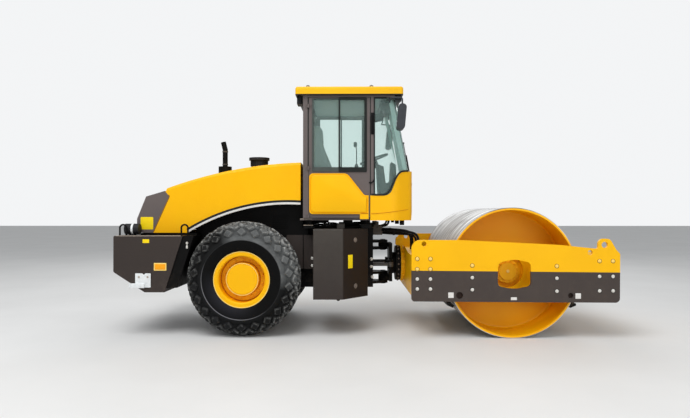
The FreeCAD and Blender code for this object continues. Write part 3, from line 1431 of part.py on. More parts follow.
def main():
    save("frame_plates", *both_sides(frame_plate()))
    save("front_beam", beam(FRONT_BEAM_X, FRONT_BEAM_Z))
    save("rear_beam", rear_beam())
    save("drum_supports", *both_sides(drum_support()))
    save("scrapers", scraper(-1), scraper(1))
    save("drum", drum())
    save("centre_link", centre_link())
    for side, name in ((-1, "right"), (1, "left")):
        save("steer_barrel_" + name, steer_barrel(side))
        save("steer_rod_" + name, steer_rod(side))
    tail = tail_frame()
    save("frame_rails", *both_sides(frame_rail().cut(tail)))
    save("articulation_fork", articulation_fork())
    save("tail_frame", tail)
    save("counterweight", counterweight())
    save("lifting_hoops", *hoops())
    save("rear_axle", rear_axle())
    save("side_tanks", side_tank(), left_tank())
    save("engine", engine())
    save("engine_side_panels", *both_sides(engine_side_panel()))
    save("hood_shell", hood_shell())
    save("hood_grille", hood_grille())
    save("exhaust_stack", exhaust_stack())
    save("pre_cleaner", pre_cleaner())
    save("cab_beams", *cab_beams())
    save("cab_floor", cab_floor())
    save("cab_rear_wall", cab_rear_wall())
    save("cab_frame", cab_frame())
    save("cab_nose", cab_nose())
    save("cab_roof", cab_roof())
    save("cab_glass", *cab_glass())
    save("seat_base", seat_base())
    save("seat_cushions", *seat_cushions())
    save("steering_console", steering_console())
    save("mirrors", *both_sides(mirror()))
    save("work_lamps", *work_lamps())
    makers = (
        ("rim", rim),
        ("tyre", tyre),
        ("door", door),
        ("door_skin", door_skin),
        ("door_glass", door_glass),
    )
    for node, maker in makers:
        right, left = both_sides(maker())
        save(node + "_right", right)
        save(node + "_left", left)


main()
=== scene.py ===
"""Finishes and small pieces of a single-drum road roller, with its stage and camera.
Metres, +X forward, +Z up."""

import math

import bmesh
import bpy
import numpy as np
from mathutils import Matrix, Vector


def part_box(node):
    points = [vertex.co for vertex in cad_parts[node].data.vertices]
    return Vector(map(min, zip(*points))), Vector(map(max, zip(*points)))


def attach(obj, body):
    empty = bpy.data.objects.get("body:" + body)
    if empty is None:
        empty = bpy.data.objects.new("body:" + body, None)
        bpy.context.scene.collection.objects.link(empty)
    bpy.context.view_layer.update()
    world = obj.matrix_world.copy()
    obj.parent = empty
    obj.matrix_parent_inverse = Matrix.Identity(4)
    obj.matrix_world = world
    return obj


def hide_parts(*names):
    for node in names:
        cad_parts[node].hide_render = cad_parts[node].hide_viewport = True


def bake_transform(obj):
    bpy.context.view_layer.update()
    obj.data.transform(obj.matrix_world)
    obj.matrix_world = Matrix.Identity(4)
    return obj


bl_info = {
    "name": "Road Roller Dressing",
    "version": (1, 0, 0),
    "blender": (4, 5, 0),
    "location": "View3D > Sidebar > Roller",
    "description": "Paint, rubber, glass, tread, bolts and cab fittings of a road roller",
    "category": "Object",
}

from mathutils.bvhtree import BVHTree

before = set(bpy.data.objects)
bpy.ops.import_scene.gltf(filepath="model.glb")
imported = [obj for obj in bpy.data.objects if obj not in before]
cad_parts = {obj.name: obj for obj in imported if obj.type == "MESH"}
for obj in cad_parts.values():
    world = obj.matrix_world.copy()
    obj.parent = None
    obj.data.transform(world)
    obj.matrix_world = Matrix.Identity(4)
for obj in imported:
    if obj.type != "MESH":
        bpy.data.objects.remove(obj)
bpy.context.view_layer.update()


# Sizes taken from the frame

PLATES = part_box("frame_plates")
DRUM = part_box("drum")
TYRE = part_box("tyre_right")
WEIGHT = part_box("counterweight")
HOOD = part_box("hood_shell")

DRUM_X = (DRUM[0].x + DRUM[1].x) / 2
DRUM_RADIUS = (DRUM[1].z - DRUM[0].z) / 2
WHEEL_X = (TYRE[0].x + TYRE[1].x) / 2
WHEEL_Y = (TYRE[1].y + TYRE[0].y) / 2
WHEEL_RADIUS = (TYRE[1].z - TYRE[0].z) / 2
SIDES = (("right", -1), ("left", 1))
# Distance from the middle at which a search for a surface starts, outside the whole machine
OUTSIDE = 5.0


# Surfaces as whole arrays


def tile(x, y, z, wrap_rows=False, wrap_columns=False):
    """Points and quads of the surface whose coordinates are arrays over a grid. A wrapped way closes on
    itself."""
    x, y, z = np.broadcast_arrays(x, y, z)
    rows, columns = x.shape
    points = np.stack([x, y, z], -1).reshape(-1, 3)
    index = np.arange(rows * columns).reshape(rows, columns)
    if wrap_rows:
        index = np.vstack([index, index[:1]])
    if wrap_columns:
        index = np.hstack([index, index[:, :1]])
    corners = [index[:-1, :-1], index[1:, :-1], index[1:, 1:], index[:-1, 1:]]
    return points, np.stack(corners, -1).reshape(-1, 4)


def rounded(corners, steps=4):
    """Closed outline through (u, v, radius) corners: each corner is an arc tangent to both of its sides. It is the
    great circle arc from start to end: sin((1 - t) turn) / sin(turn) start + sin(t turn) / sin(turn) end."""
    corners = np.array([(c[0], c[1], c[2] if len(c) > 2 else 0.0) for c in corners], float)
    here = corners[:, :2]
    back = np.roll(here, 1, 0) - here
    ahead = np.roll(here, -1, 0) - here
    back /= np.linalg.norm(back, axis=1, keepdims=True)
    ahead /= np.linalg.norm(ahead, axis=1, keepdims=True)
    half = np.arccos(np.clip((back * ahead).sum(1), -1, 1)) / 2
    radius = np.maximum(corners[:, 2], 1e-5)
    middle = back + ahead
    middle /= np.maximum(np.linalg.norm(middle, axis=1, keepdims=True), 1e-9)
    centre = here + middle * (radius / np.sin(half))[:, None]
    start = here + back * (radius / np.tan(half))[:, None] - centre
    end = here + ahead * (radius / np.tan(half))[:, None] - centre
    turn = (math.pi - 2 * half)[:, None]
    share = np.linspace(0, 1, steps)[None, :]
    first = np.sin((1 - share) * turn) / np.sin(turn)
    last = np.sin(share * turn) / np.sin(turn)
    points = centre[:, None] + first[..., None] * start[:, None] + last[..., None] * end[:, None]
    return points.reshape(-1, 2)


def capped(points, quads, count):
    """A closed tube of rings of count points with a flat face over its first and its last ring."""
    first = list(range(count))[::-1]
    last = list(range(len(points) - count, len(points)))
    return points, quads.tolist() + [first, last]


def inset(outline, distance):
    """Closed outline moved to its inside by a distance along the mitre of its two sides at each point."""
    ahead = np.roll(outline, -1, 0) - outline
    ahead /= np.maximum(np.linalg.norm(ahead, axis=1, keepdims=True), 1e-9)
    back = np.roll(ahead, 1, 0)
    normal = np.stack([-ahead[:, 1] - back[:, 1], ahead[:, 0] + back[:, 0]], 1)
    normal /= np.maximum(np.linalg.norm(normal, axis=1, keepdims=True), 1e-9)
    across = np.stack([-ahead[:, 1], ahead[:, 0]], 1)
    stretch = np.clip((normal * across).sum(1), 0.5, 1)
    x, y = outline.T
    turn = np.sign(np.sum(x * np.roll(y, -1) - y * np.roll(x, -1)))
    return outline + turn * distance * normal / stretch[:, None]


def slab(outline, low, high, edge=0.002, plane="xz"):
    """Outline carried from low to high across its plane, with a rounded edge at both ends and flat caps. The edge
    is a quarter circle: inset edge (1 - sin a) at the distance edge (1 - cos a) from the end."""
    turn = np.linspace(0, math.pi / 2, 4)
    draw = edge * (1 - np.sin(turn))
    lift = edge * (1 - np.cos(turn))
    insets = np.concatenate([draw, draw[::-1]])
    w = np.concatenate([low + lift, high - lift[::-1]])[:, None]
    u, v = np.moveaxis(np.array([inset(outline, distance) for distance in insets]), -1, 0)
    order = {"xz": (u, w, v), "xy": (u, v, w), "yz": (w, u, v)}[plane]
    return capped(*tile(*order, wrap_columns=True), len(outline))


def lathe(profile, centre=(0, 0, 0), axis="y", segments=48, ring=False):
    """(radius, distance) profile turned about an axis through centre: radius (cos a, sin a) across it for a full
    turn of a, and distance along it."""
    profile = np.array(profile, float)
    angle = np.linspace(0, 2 * math.pi, segments, endpoint=False)[:, None]
    across = profile[None, :, 0] * np.cos(angle)
    up = profile[None, :, 0] * np.sin(angle)
    along = np.broadcast_to(profile[None, :, 1], across.shape)
    order = {"y": (across, along, up), "x": (along, across, up), "z": (across, up, along)}[axis]
    x, y, z = (part + place for part, place in zip(order, centre))
    return tile(x, y, z, wrap_rows=True, wrap_columns=ring)


def rectangle(u_low, u_high, v_low, v_high):
    """Outline, section or profile with four corners."""
    return [(u_low, v_low), (u_high, v_low), (u_high, v_high), (u_low, v_high)]


def stub(radius, top_radius, base, edge, top):
    """Profile for lathe of a solid disc: straight from base to edge, then sloping in to top_radius at top."""
    return [(0, base), (radius, base), (radius, edge), (top_radius, top), (0, top)]


def smooth_path(points, samples=40):
    """Catmull-Rom curve through the points: a cubic between each two whose tangents follow their neighbours."""
    points = np.array(points, float)
    ends = np.vstack([2 * points[0] - points[1], points, 2 * points[-1] - points[-2]])
    place = np.linspace(0, len(points) - 1 - 1e-9, samples)
    at = place.astype(int)
    t = (place - at)[:, None]
    a, b, c, d = (ends[at + shift] for shift in range(4))
    cubic = 2 * b + (c - a) * t + (2 * a - 5 * b + 4 * c - d) * t**2 + (3 * b - a - 3 * c + d) * t**3
    return cubic / 2


def swept(path, section, closed=False):
    """Section of (side, up) points carried along a path, square to it, with flat ends."""
    path = np.array(path, float)
    ahead = np.gradient(path, axis=0)
    if closed:
        ahead = np.roll(path, -1, 0) - np.roll(path, 1, 0)
    ahead /= np.linalg.norm(ahead, axis=1, keepdims=True)
    flat = np.linalg.svd(path - path.mean(0))[2][-1]
    side = np.cross(ahead, flat)
    side /= np.linalg.norm(side, axis=1, keepdims=True)
    up = np.cross(side, ahead)
    section = np.array(section, float)
    grid = path[:, None] + side[:, None] * section[None, :, :1] + up[:, None] * section[None, :, 1:]
    points, quads = tile(*np.moveaxis(grid, -1, 0), wrap_rows=closed, wrap_columns=True)
    return (points, quads.tolist()) if closed else capped(points, quads, len(section))


def circle(radius, sides=12):
    angle = np.linspace(0, 2 * math.pi, sides, endpoint=False)
    return np.stack([radius * np.cos(angle), radius * np.sin(angle)], 1)


def tube(points, radius, samples=40, sides=12):
    """Round bar or hose along a smooth curve through the points."""
    return swept(smooth_path(points, samples), circle(radius, sides))


def soft_box(low, high, radius, steps=4):
    """Box whose edges and corners are part of a sphere: its middle block plus the radius along each direction."""
    low, high = np.array(low, float), np.array(high, float)
    centre, half = (low + high) / 2, (high - low) / 2 - radius
    quarter = np.linspace(0, math.pi / 2, steps)
    around = np.concatenate([quarter + k * math.pi / 2 for k in range(4)])[:, None]
    sign_x = np.repeat([1, -1, -1, 1], steps)[:, None]
    sign_y = np.repeat([1, 1, -1, -1], steps)[:, None]
    rise = np.concatenate([quarter - math.pi / 2, quarter])[None, :]
    sign_z = np.repeat([-1, 1], steps)[None, :]
    x = centre[0] + sign_x * half[0] + radius * np.cos(rise) * np.cos(around)
    y = centre[1] + sign_y * half[1] + radius * np.cos(rise) * np.sin(around)
    z = centre[2] + sign_z * half[2] + radius * np.sin(rise) + 0 * around
    points, quads = tile(x, y, z, wrap_rows=True)
    columns = 2 * steps
    bottom = [i * columns for i in range(4 * steps)][::-1]
    top = [i * columns + columns - 1 for i in range(4 * steps)]
    return points, quads.tolist() + [bottom, top]


def boxes(rows, steps=4):
    """Soft boxes from rows of lowest corner, highest corner and radius."""
    return gathered(*[soft_box(low, high, radius, steps) for low, high, radius in rows])


def copies(shape, places, side=1):
    """The same shape at many places. Side -1 mirrors it across Y first, as a part of the other side."""
    points, faces = shape
    points = np.array(points, float) * (1, side, 1)
    places = np.array(places, float).reshape(-1, 3)
    moved = (places[:, None] + points[None]).reshape(-1, 3)
    made = []
    for number in range(len(places)):
        made += [[i + number * len(points) for i in face] for face in faces]
    return moved, made


def gathered(*shapes):
    """Several shapes as one list of points and faces."""
    points, faces, total = [], [], 0
    for part, polygons in shapes:
        points.append(np.array(part, float))
        faces += [[i + total for i in face] for face in polygons]
        total += len(part)
    return np.vstack(points), faces


def mirrored(shape):
    points, faces = shape
    return np.array(points) * (1, -1, 1), faces


def both(shape):
    """A shape of the right side with its mirror image on the left."""
    return gathered(shape, mirrored(shape))


def sided(shape, side):
    """A shape of the right side, mirrored where side is the left's 1."""
    return shape if side < 0 else mirrored(shape)


# Surfaces of the frame, and pieces that lie on them


def skin_of(*names):
    """Search tree over the faces of CAD nodes, so that small pieces can lie on them."""
    points, faces = [], []
    for name in names:
        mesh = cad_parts[name].data
        faces += [[len(points) + corner for corner in face.vertices] for face in mesh.polygons]
        points += [tuple(vertex.co) for vertex in mesh.vertices]
    return BVHTree.FromPolygons(points, faces)


def meeting(skin, start, way):
    """Place where a line from start along way first meets a skin."""
    place = skin.ray_cast(start, way)[0]
    if place is None:
        raise RuntimeError("no surface from (%.3f, %.3f, %.3f)" % tuple(start))
    return place


def on_side(skin, x, z, off=0.0):
    """Point on the right side of a skin at x and z, moved outwards by off."""
    return x, meeting(skin, (x, -OUTSIDE, z), (0.0, 1.0, 0.0)).y - off, z


def on_front(skin, y, z, off=0.0):
    """Point on the front of a skin at y and z, moved forward by off."""
    return meeting(skin, (OUTSIDE, y, z), (-1.0, 0.0, 0.0)).x + off, y, z


def side_band(skin, path, width, proud=0.003, samples=60, sunk=0.001):
    """Thin band on the right side of a skin: a flat rectangle swept along a smooth path of (x, z) points, proud of
    the skin and sunk into it. Where the path runs above an edge, the band keeps the depth of the nearest surface
    below."""
    drops = np.arange(0.0, 0.32, 0.02)
    laid = []
    for x, _, z in smooth_path([(x, 0.0, z) for x, z in path], samples):
        hits = [skin.ray_cast((x, -OUTSIDE, z - drop), (0.0, 1.0, 0.0))[0] for drop in drops]
        depth = [hit.y for hit in hits if hit is not None][0]
        laid.append((x, depth - proud / 2 + sunk, z))
    half = width / 2
    thick = proud / 2 + sunk
    return swept(laid, rectangle(-half, half, -thick, thick))


def sheet_plate(low, high, y_low, y_high, corner=0.004, edge=0.0005):
    """Rectangular plate in the XZ plane from its lowest to its highest (x, z), with rounded corners."""
    outline = rounded([(x, z, corner) for x, z in rectangle(low[0], high[0], low[1], high[1])])
    return slab(outline, y_low, y_high, edge)


def film(low, high, face, corner=0.004, proud=0.0012, sunk=0.0005):
    """Blank label on a face across Y, from its lowest to its highest (x, z)."""
    return sheet_plate(low, high, face - proud, face + sunk, corner)


def facing(shape, way):
    """A shape that points to -Y from the origin, turned to point another way."""
    points, faces = shape
    x, y, z = np.array(points, float).T
    coordinates = {"+x": (-y, x, z), "+z": (x, z, -y)}[way]
    return np.stack(coordinates, 1), faces


def turned(shape, angle):
    """A shape turned about Z through the origin."""
    points, faces = shape
    x, y, z = np.array(points, float).T
    cos, sin = math.cos(angle), math.sin(angle)
    return np.stack([x * cos - y * sin, x * sin + y * cos, z], 1), faces


def piece(name, shape, finish, body, slot=None, crease=35.0, values=None):
    """Object made of a shape: doubles merged, faces turned outwards, smooth up to the crease angle, riding on a
    body. finish names one of FINISHES. values holds a number for each point under the name by which a material
    reads it. A piece with no body is left unattached."""
    points, faces = shape
    faces = faces.tolist() if isinstance(faces, np.ndarray) else faces
    mesh = bpy.data.meshes.new(name)
    mesh.from_pydata(np.array(points).tolist(), [], faces)
    for label, numbers in (values or {}).items():
        layer = mesh.attributes.new(label, "FLOAT", "POINT")
        layer.data.foreach_set("value", np.asarray(numbers, np.float32))
    work = bmesh.new()
    work.from_mesh(mesh)
    bmesh.ops.remove_doubles(work, verts=work.verts, dist=DOUBLES_WITHIN)
    bmesh.ops.recalc_face_normals(work, faces=work.faces)
    work.to_mesh(mesh)
    work.free()
    mesh.shade_smooth()
    mesh.set_sharp_from_angle(angle=math.radians(crease))
    mesh.materials.append(FINISHES[finish])
    made = bpy.data.objects.new(name, mesh)
    bpy.context.scene.collection.objects.link(made)
    if body:
        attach(made, body)
    return made


# Materials


def linear(colour):
    """Linear value of a display colour given from 0 to 255."""
    value = np.array(colour, float) / 255
    made = np.where(value <= 0.04045, value / 12.92, ((value + 0.055) / 1.055) ** 2.4)
    return tuple(made) + (1.0,)


class Finish:
    """A material whose nodes are added by name. Patterns read Object coordinates or a piece's own attribute."""

    def __init__(self, name, roughness=0.5, metallic=0.0, specular=0.25):
        self.material = bpy.data.materials.new(name)
        self.material.use_nodes = True
        self.nodes = self.material.node_tree.nodes
        self.links = self.material.node_tree.links
        self.shader = self.nodes["Principled BSDF"]
        self.shader.inputs["Roughness"].default_value = roughness
        self.shader.inputs["Metallic"].default_value = metallic
        self.shader.inputs["Specular IOR Level"].default_value = specular
        self.place = self.nodes.new("ShaderNodeTexCoord").outputs["Object"]

    def link(self, source, target):
        self.links.new(source, target)

    def attribute(self, name):
        node = self.nodes.new("ShaderNodeAttribute")
        node.attribute_name = name
        return node.outputs["Fac"]

    def mapped(self, scale=(1, 1, 1), location=(0, 0, 0)):
        node = self.nodes.new("ShaderNodeMapping")
        node.inputs["Scale"].default_value = scale
        node.inputs["Location"].default_value = location
        self.link(self.place, node.inputs["Vector"])
        return node.outputs["Vector"]

    def noise(self, scale, detail=3.0, roughness=0.55, place=None):
        node = self.nodes.new("ShaderNodeTexNoise")
        for name, number in zip(("Scale", "Detail", "Roughness"), (scale, detail, roughness)):
            node.inputs[name].default_value = number
        self.link(place or self.place, node.inputs["Vector"])
        return node.outputs["Fac"]

    def ramp(self, value, stops):
        """Colours by value: stops are (position, colour from 0 to 255)."""
        node = self.nodes.new("ShaderNodeValToRGB")
        elements = node.color_ramp.elements
        while len(elements) < len(stops):
            elements.new(0.5)
        for element, (position, colour) in zip(elements, stops):
            element.position = position
            element.color = linear(colour)
        self.link(value, node.inputs["Fac"])
        return node.outputs["Color"]

    def graded(self, value, low, high, start=0.0, end=1.0):
        """Value mapped from low..high to start..end and held there."""
        node = self.nodes.new("ShaderNodeMapRange")
        for name, number in zip(("From Min", "From Max", "To Min", "To Max"), (low, high, start, end)):
            node.inputs[name].default_value = number
        self.link(value, node.inputs["Value"])
        return node.outputs["Result"]

    def step(self, value, edge, half):
        """0 below an edge and 1 above it, over half its width on each side."""
        return self.graded(value, edge - half, edge + half)

    def cloud(self, scale, detail, low, high, start=0.0, end=1.0, roughness=0.55):
        """Noise mapped from low..high to start..end."""
        return self.graded(self.noise(scale, detail, roughness), low, high, start, end)

    def math(self, operation, first, second=None):
        node = self.nodes.new("ShaderNodeMath")
        node.operation = operation
        for socket, value in zip(node.inputs, (first, second)):
            if isinstance(value, (int, float)):
                socket.default_value = value
            elif value is not None:
                self.link(value, socket)
        return node.outputs["Value"]

    def times(self, first, *others):
        for other in others:
            first = self.math("MULTIPLY", first, other)
        return first

    def parts(self, vector=None):
        """X, Y and Z of the place, or of another vector."""
        node = self.nodes.new("ShaderNodeSeparateXYZ")
        self.link(vector or self.place, node.inputs["Vector"])
        return node.outputs["X"], node.outputs["Y"], node.outputs["Z"]

    def round_axle(self, x, z):
        """Distance from an axle along Y through x and z, and the place's X and Z from it."""
        across, _, up = self.parts(self.mapped((1, 1, 1), (-x, 0, -z)))
        square = self.math("ADD", self.times(across, across), self.times(up, up))
        return self.math("SQRT", square), across, up

    def mix(self, share, first, second):
        node = self.nodes.new("ShaderNodeMix")
        node.data_type = "RGBA"
        if isinstance(share, (int, float)):
            node.inputs["Factor"].default_value = share
        else:
            self.link(share, node.inputs["Factor"])
        for socket, value in ((node.inputs[6], first), (node.inputs[7], second)):
            if isinstance(value, tuple):
                socket.default_value = linear(value)
            else:
                self.link(value, socket)
        return node.outputs[2]

    def colour(self, value):
        socket = self.shader.inputs["Base Color"]
        if isinstance(value, tuple):
            socket.default_value = linear(value)
        else:
            self.link(value, socket)
        return self

    def rough(self, value):
        self.link(value, self.shader.inputs["Roughness"])
        return self

    def bump(self, height, strength, distance):
        node = self.nodes.new("ShaderNodeBump")
        node.inputs["Strength"].default_value = strength
        node.inputs["Distance"].default_value = distance
        self.link(height, node.inputs["Height"])
        self.link(node.outputs["Normal"], self.shader.inputs["Normal"])
        return self


def paint(name, colour, shade, roughness=0.4, specular=0.2, dust=0.35):
    """Sprayed paint: a base colour that drifts to a shade in large patches, orange peel, and dust low down."""
    made = Finish(name, roughness, 0.0, specular)
    body = made.mix(made.cloud(0.9, 4.0, 0.35, 0.75), colour, shade)
    low = made.graded(made.parts()[2], 0.25, 0.9, dust, 0.0)
    specks = made.cloud(14.0, 8.0, 0.48, 0.78, roughness=0.7)
    made.colour(made.mix(made.times(low, specks), body, DUST))
    made.rough(made.cloud(6.0, 5.0, 0.3, 0.7, roughness - 0.06, roughness + 0.1))
    made.bump(made.noise(*PEEL), 0.06, 0.0006)
    return made.material


def tank_paint(name, broad, slanting_shade):
    """Grey paint of the tanks, lighter towards the top, and browner and darker on the slanting front face with painted
    shade, where the broad side ends in X.
    """
    made = Finish(name, 0.5, 0.0, 0.2)
    across, _, up = made.parts()
    # Painted shade on the slanting front face, past the X where the broad side ends
    front = made.step(across, TANK_CORNERS[0][0], 0.006)
    side = made.mix(made.graded(up, 0.5, 1.35), broad, TANK_TOP)
    cloud = made.cloud(3.0, 6.0, 0.35, 0.75, 0.0, 0.35, 0.65)
    made.colour(made.mix(cloud, made.mix(front, side, slanting_shade), TANK_CLOUD))
    made.rough(made.cloud(6.0, 5.0, 0.3, 0.7, 0.44, 0.6))
    made.bump(made.noise(*PEEL), 0.06, 0.0006)
    return made.material


def roof_paint(name, colour, shade):
    """Yellow roof with painted shade, dark, on its underside and lower lip, and grey lifting eyes on top."""
    made = Finish(name, 0.45, 0.0, 0.3)
    up = made.parts()[2]
    above = made.step(up, ROOF_LIP_Z, 0.001)
    eyes = made.graded(up, ROOF_TOP_Z, ROOF_TOP_Z + 0.002)
    # Painted shade: the underside and the lower lip below ROOF_LIP_Z are dark
    body = made.mix(above, ROOF_UNDER_SHADE, made.mix(made.cloud(1.4, 3.0, 0.35, 0.7), colour, shade))
    made.colour(made.mix(eyes, body, ROOF_EYES))
    made.bump(made.noise(300.0, 2.0), 0.05, 0.0005)
    return made.material


def two_tone_paint(name, upper, lower, split_rear, split_front):
    """Side plate paint: one colour above a sloping line and another below it, the line running along X."""
    made = Finish(name, 0.4, 0.0, 0.2)
    x_rear, z_rear = split_rear
    x_front, z_front = split_front
    slope = (z_front - z_rear) / (x_front - x_rear)
    across, _, up = made.parts()
    line = made.math("ADD", made.times(across, slope), z_rear - slope * x_rear)
    above = made.step(made.math("SUBTRACT", up, line), 0.0, 0.0012)
    fade = made.cloud(1.4, 4.0, 0.35, 0.7)
    top = made.mix(fade, upper, PLATE_YELLOW)
    bottom = made.mix(fade, lower, PLATE_GREY)
    grime = made.cloud(9.0, 8.0, 0.5, 0.8, 0.0, 0.14, 0.7)
    made.colour(made.mix(above, made.mix(grime, bottom, PLATE_GRIME), top))
    made.rough(made.cloud(5.0, 5.0, 0.3, 0.7, 0.34, 0.5))
    made.bump(made.noise(380.0, 2.0), 0.06, 0.0006)
    return made.material


def drum_steel(name, inner):
    """Rolled steel outside with dark streaks round the drum, and smooth yellow paint inside the shell."""
    made = Finish(name, 0.4, 0.0, 0.25)
    radius = made.round_axle(DRUM_X, DRUM_RADIUS)[0]
    outside = made.graded(radius, DRUM_RADIUS - 0.010, DRUM_RADIUS - 0.006)
    bands = made.noise(1.0, 6.0, 0.6, made.mapped((0.9, 15.0, 0.9)))
    fine = made.noise(1.0, 8.0, 0.7, made.mapped((2.5, 120.0, 2.5)))
    steel = made.ramp(bands, STEEL_BANDS)
    steel = made.mix(made.graded(fine, 0.50, 0.74, 0.0, 0.4), steel, STEEL_FINE)
    steel = made.mix(made.cloud(2.6, 6.0, 0.56, 0.70, 0.0, 0.6, 0.65), steel, STEEL_PATCH)
    drift = made.cloud(1.1, 4.0, 0.35, 0.7)
    made.colour(made.mix(outside, made.mix(drift, inner, DRUM_YELLOW), steel))
    made.link(made.graded(outside, 0, 1, 0.0, 0.55), made.shader.inputs["Metallic"])
    made.rough(made.graded(bands, 0.3, 0.7, 0.5, 0.34))
    made.bump(fine, 0.12, 0.0008)
    return made.material


def tyre_rubber(name):
    """Black rubber. Grey on the shoulder where it faces up and forward: dust with a painted sheen of light from above.
    Pale on the blocks' edges: dust with a painted highlight. A painted reflection lightens the low side near the rim, a
    painted highlight runs along the ridge where it faces down and back, and painted shade darkens the grooves.
    """
    made = Finish(name, 0.72, 0.0, 0.12)
    radius, across, up = made.round_axle(WHEEL_X, WHEEL_RADIUS)
    lean = math.radians(SHEEN_AND_DUST_DIRECTION)
    along = made.math("ADD", made.times(across, math.cos(lean)), made.times(up, math.sin(lean)))
    toward = made.math("DIVIDE", along, radius)
    # Dust and painted sheen: grey on the shoulder where it faces up and forward
    side = made.graded(toward, 0.40, 0.66, 0.06, 1.0)
    shoulder = made.graded(radius, TYRE_RIDGE - 0.004, TYRE_RIDGE + 0.006)
    crown = made.graded(radius, WHEEL_RADIUS * 0.93, WHEEL_RADIUS * 0.985, 1.0, 0.35)
    cloud = made.cloud(9.0, 7.0, 0.25, 0.72, 0.45, 1.0, 0.65)
    dust = made.times(shoulder, side, cloud, crown)
    # Painted reflection: the low side near the rim, facing down and back, lighter and bluer
    below = made.graded(toward, -0.95, -0.35, 1.0, 0.0)
    inner = made.graded(radius, 0.34, 0.47, 1.0, 0.2)
    low = made.graded(made.times(below, inner), 0.0, 1.0, 0.0, 0.8)
    # Painted highlight along the ridge where it faces down and back
    from_ridge = made.math("ABSOLUTE", made.math("SUBTRACT", radius, TYRE_RIDGE))
    ridge = made.graded(from_ridge, 0.003, 0.006, 1.0, 0.0)
    ring = made.times(ridge, made.graded(toward, -0.85, -0.2, 0.8, 0.06))
    # Pale block edges: dust with a painted highlight, brighter where they face up and forward
    edge_patches = made.cloud(26.0, 6.0, 0.40, 0.62, roughness=0.7)
    edge_dust_and_highlight = made.times(made.attribute("block_edge"), edge_patches, made.graded(radius, 0.62, 0.66, 0.35, 1.0))
    lift = made.times(edge_dust_and_highlight, made.graded(toward, -0.9, 0.8, 0.35, 0.95))
    # Painted shade deep in the grooves
    depth = made.times(made.attribute("groove"), made.graded(radius, 0.62, 0.675, 0.25, 0.85))
    colour = TYRE_BLACK
    for share, layer in zip((low, ring, dust, lift, depth), TYRE_LAYERS):
        colour = made.mix(share, colour, layer)
    made.colour(colour)
    made.rough(made.graded(cloud, 0, 1, 0.6, 0.85))
    made.bump(made.noise(160.0, 4.0), 0.25, 0.0012)
    return made.material


def plain(name, colour, shade, roughness, metallic=0.0, scale=12.0, grain=0.1, depth=0.0005, specular=0.25):
    """Simple finish with two mixed colours and a fine grain."""
    made = Finish(name, roughness, metallic, specular)
    made.colour(made.mix(made.cloud(scale, 6.0, 0.3, 0.7, roughness=0.6), colour, shade))
    made.rough(made.cloud(scale * 2, 4.0, 0.3, 0.7, max(roughness - 0.08, 0.05), roughness + 0.08))
    made.bump(made.noise(scale * 30, 3.0), grain, depth)
    return made.material


def glass(name, colour, clear_tint=(250, 255, 254)):
    """Cab glass: mostly clear, with a pale green bloom that grows at a flat angle."""
    made = Finish(name, 0.06)
    made.colour(colour)
    made.shader.inputs["IOR"].default_value = 1.45
    clear = made.nodes.new("ShaderNodeBsdfTransparent")
    clear.inputs["Color"].default_value = linear(clear_tint)
    sheen = made.nodes.new("ShaderNodeFresnel")
    sheen.inputs["IOR"].default_value = 1.35
    blend = made.nodes.new("ShaderNodeMixShader")
    made.link(made.graded(sheen.outputs["Fac"], 0.0, 1.0, GLASS_BLOOM, 0.9), blend.inputs["Fac"])
    made.link(clear.outputs["BSDF"], blend.inputs[1])
    made.link(made.shader.outputs["BSDF"], blend.inputs[2])
    made.link(blend.outputs["Shader"], made.nodes["Material Output"].inputs["Surface"])
    made.material.surface_render_method = "DITHERED"
    return made.material


def woven(name, colour, shade):
    """Seat cloth: two crossed waves make the weave."""
    made = Finish(name, 0.85)
    made.shader.inputs["Sheen Weight"].default_value = 0.25
    made.shader.inputs["Sheen Roughness"].default_value = 0.5
    waves = []
    for direction in ("X", "Z"):
        wave = made.nodes.new("ShaderNodeTexWave")
        wave.bands_direction = direction
        wave.inputs["Scale"].default_value = 90.0
        made.link(made.place, wave.inputs["Vector"])
        waves.append(wave.outputs["Fac"])
    weave = made.times(*waves)
    made.colour(made.mix(made.graded(weave, 0.0, 0.8), colour, shade))
    made.bump(weave, 0.3, 0.0008)
    return made.material


# Top of the roof's lower lip, dark with painted shade, and of the roof's shell under the lifting eyes
ROOF_LIP_Z = 3.046
ROOF_TOP_Z = 3.144
# X and Y of the two ends of a tank's slanting face, right side
TANK_CORNERS = ((-0.251, -1.050), (0.065, -0.700))
# Angle above the forward axis where a tyre's dust and painted sheen lie thickest, in degrees
SHEEN_AND_DUST_DIRECTION = 52.0
# Radius of the thin ridge between a tyre's side and its shoulder
TYRE_RIDGE = 0.487
# Share of a pane seen straight on that is bloom and not clear
GLASS_BLOOM = 0.10
# Points nearer than this are one point
DOUBLES_WITHIN = 2e-5
# Scale and detail of the orange peel of sprayed paint
PEEL = (420.0, 2.0)

# Colours from 0 to 255
DUST = (128, 114, 98)
TANK_TOP = (72, 67, 62)
TANK_CLOUD = (48, 42, 38)
# Painted shade of the roof's underside and lower lip
ROOF_UNDER_SHADE = (24, 22, 22)
ROOF_EYES = (132, 130, 124)
PLATE_YELLOW = (250, 186, 0)
PLATE_GREY = (76, 67, 62)
PLATE_GRIME = (112, 98, 86)
STEEL_BANDS = ((0.36, (92, 89, 86)), (0.46, (166, 165, 164)), (0.58, (216, 217, 217)))
STEEL_FINE = (136, 132, 128)
STEEL_PATCH = (96, 90, 84)
DRUM_YELLOW = (250, 176, 0)
TYRE_BLACK = (9, 9, 9)
# Painted reflection on the low side, painted highlight on the ridge, dust and painted sheen of the shoulder,
# dust and painted highlight on the blocks' edges, painted shade deep in the grooves
TYRE_LAYERS = ((44, 44, 50), (128, 128, 132), (108, 110, 110), (172, 172, 169), (5, 5, 5))

FINISHES = {}


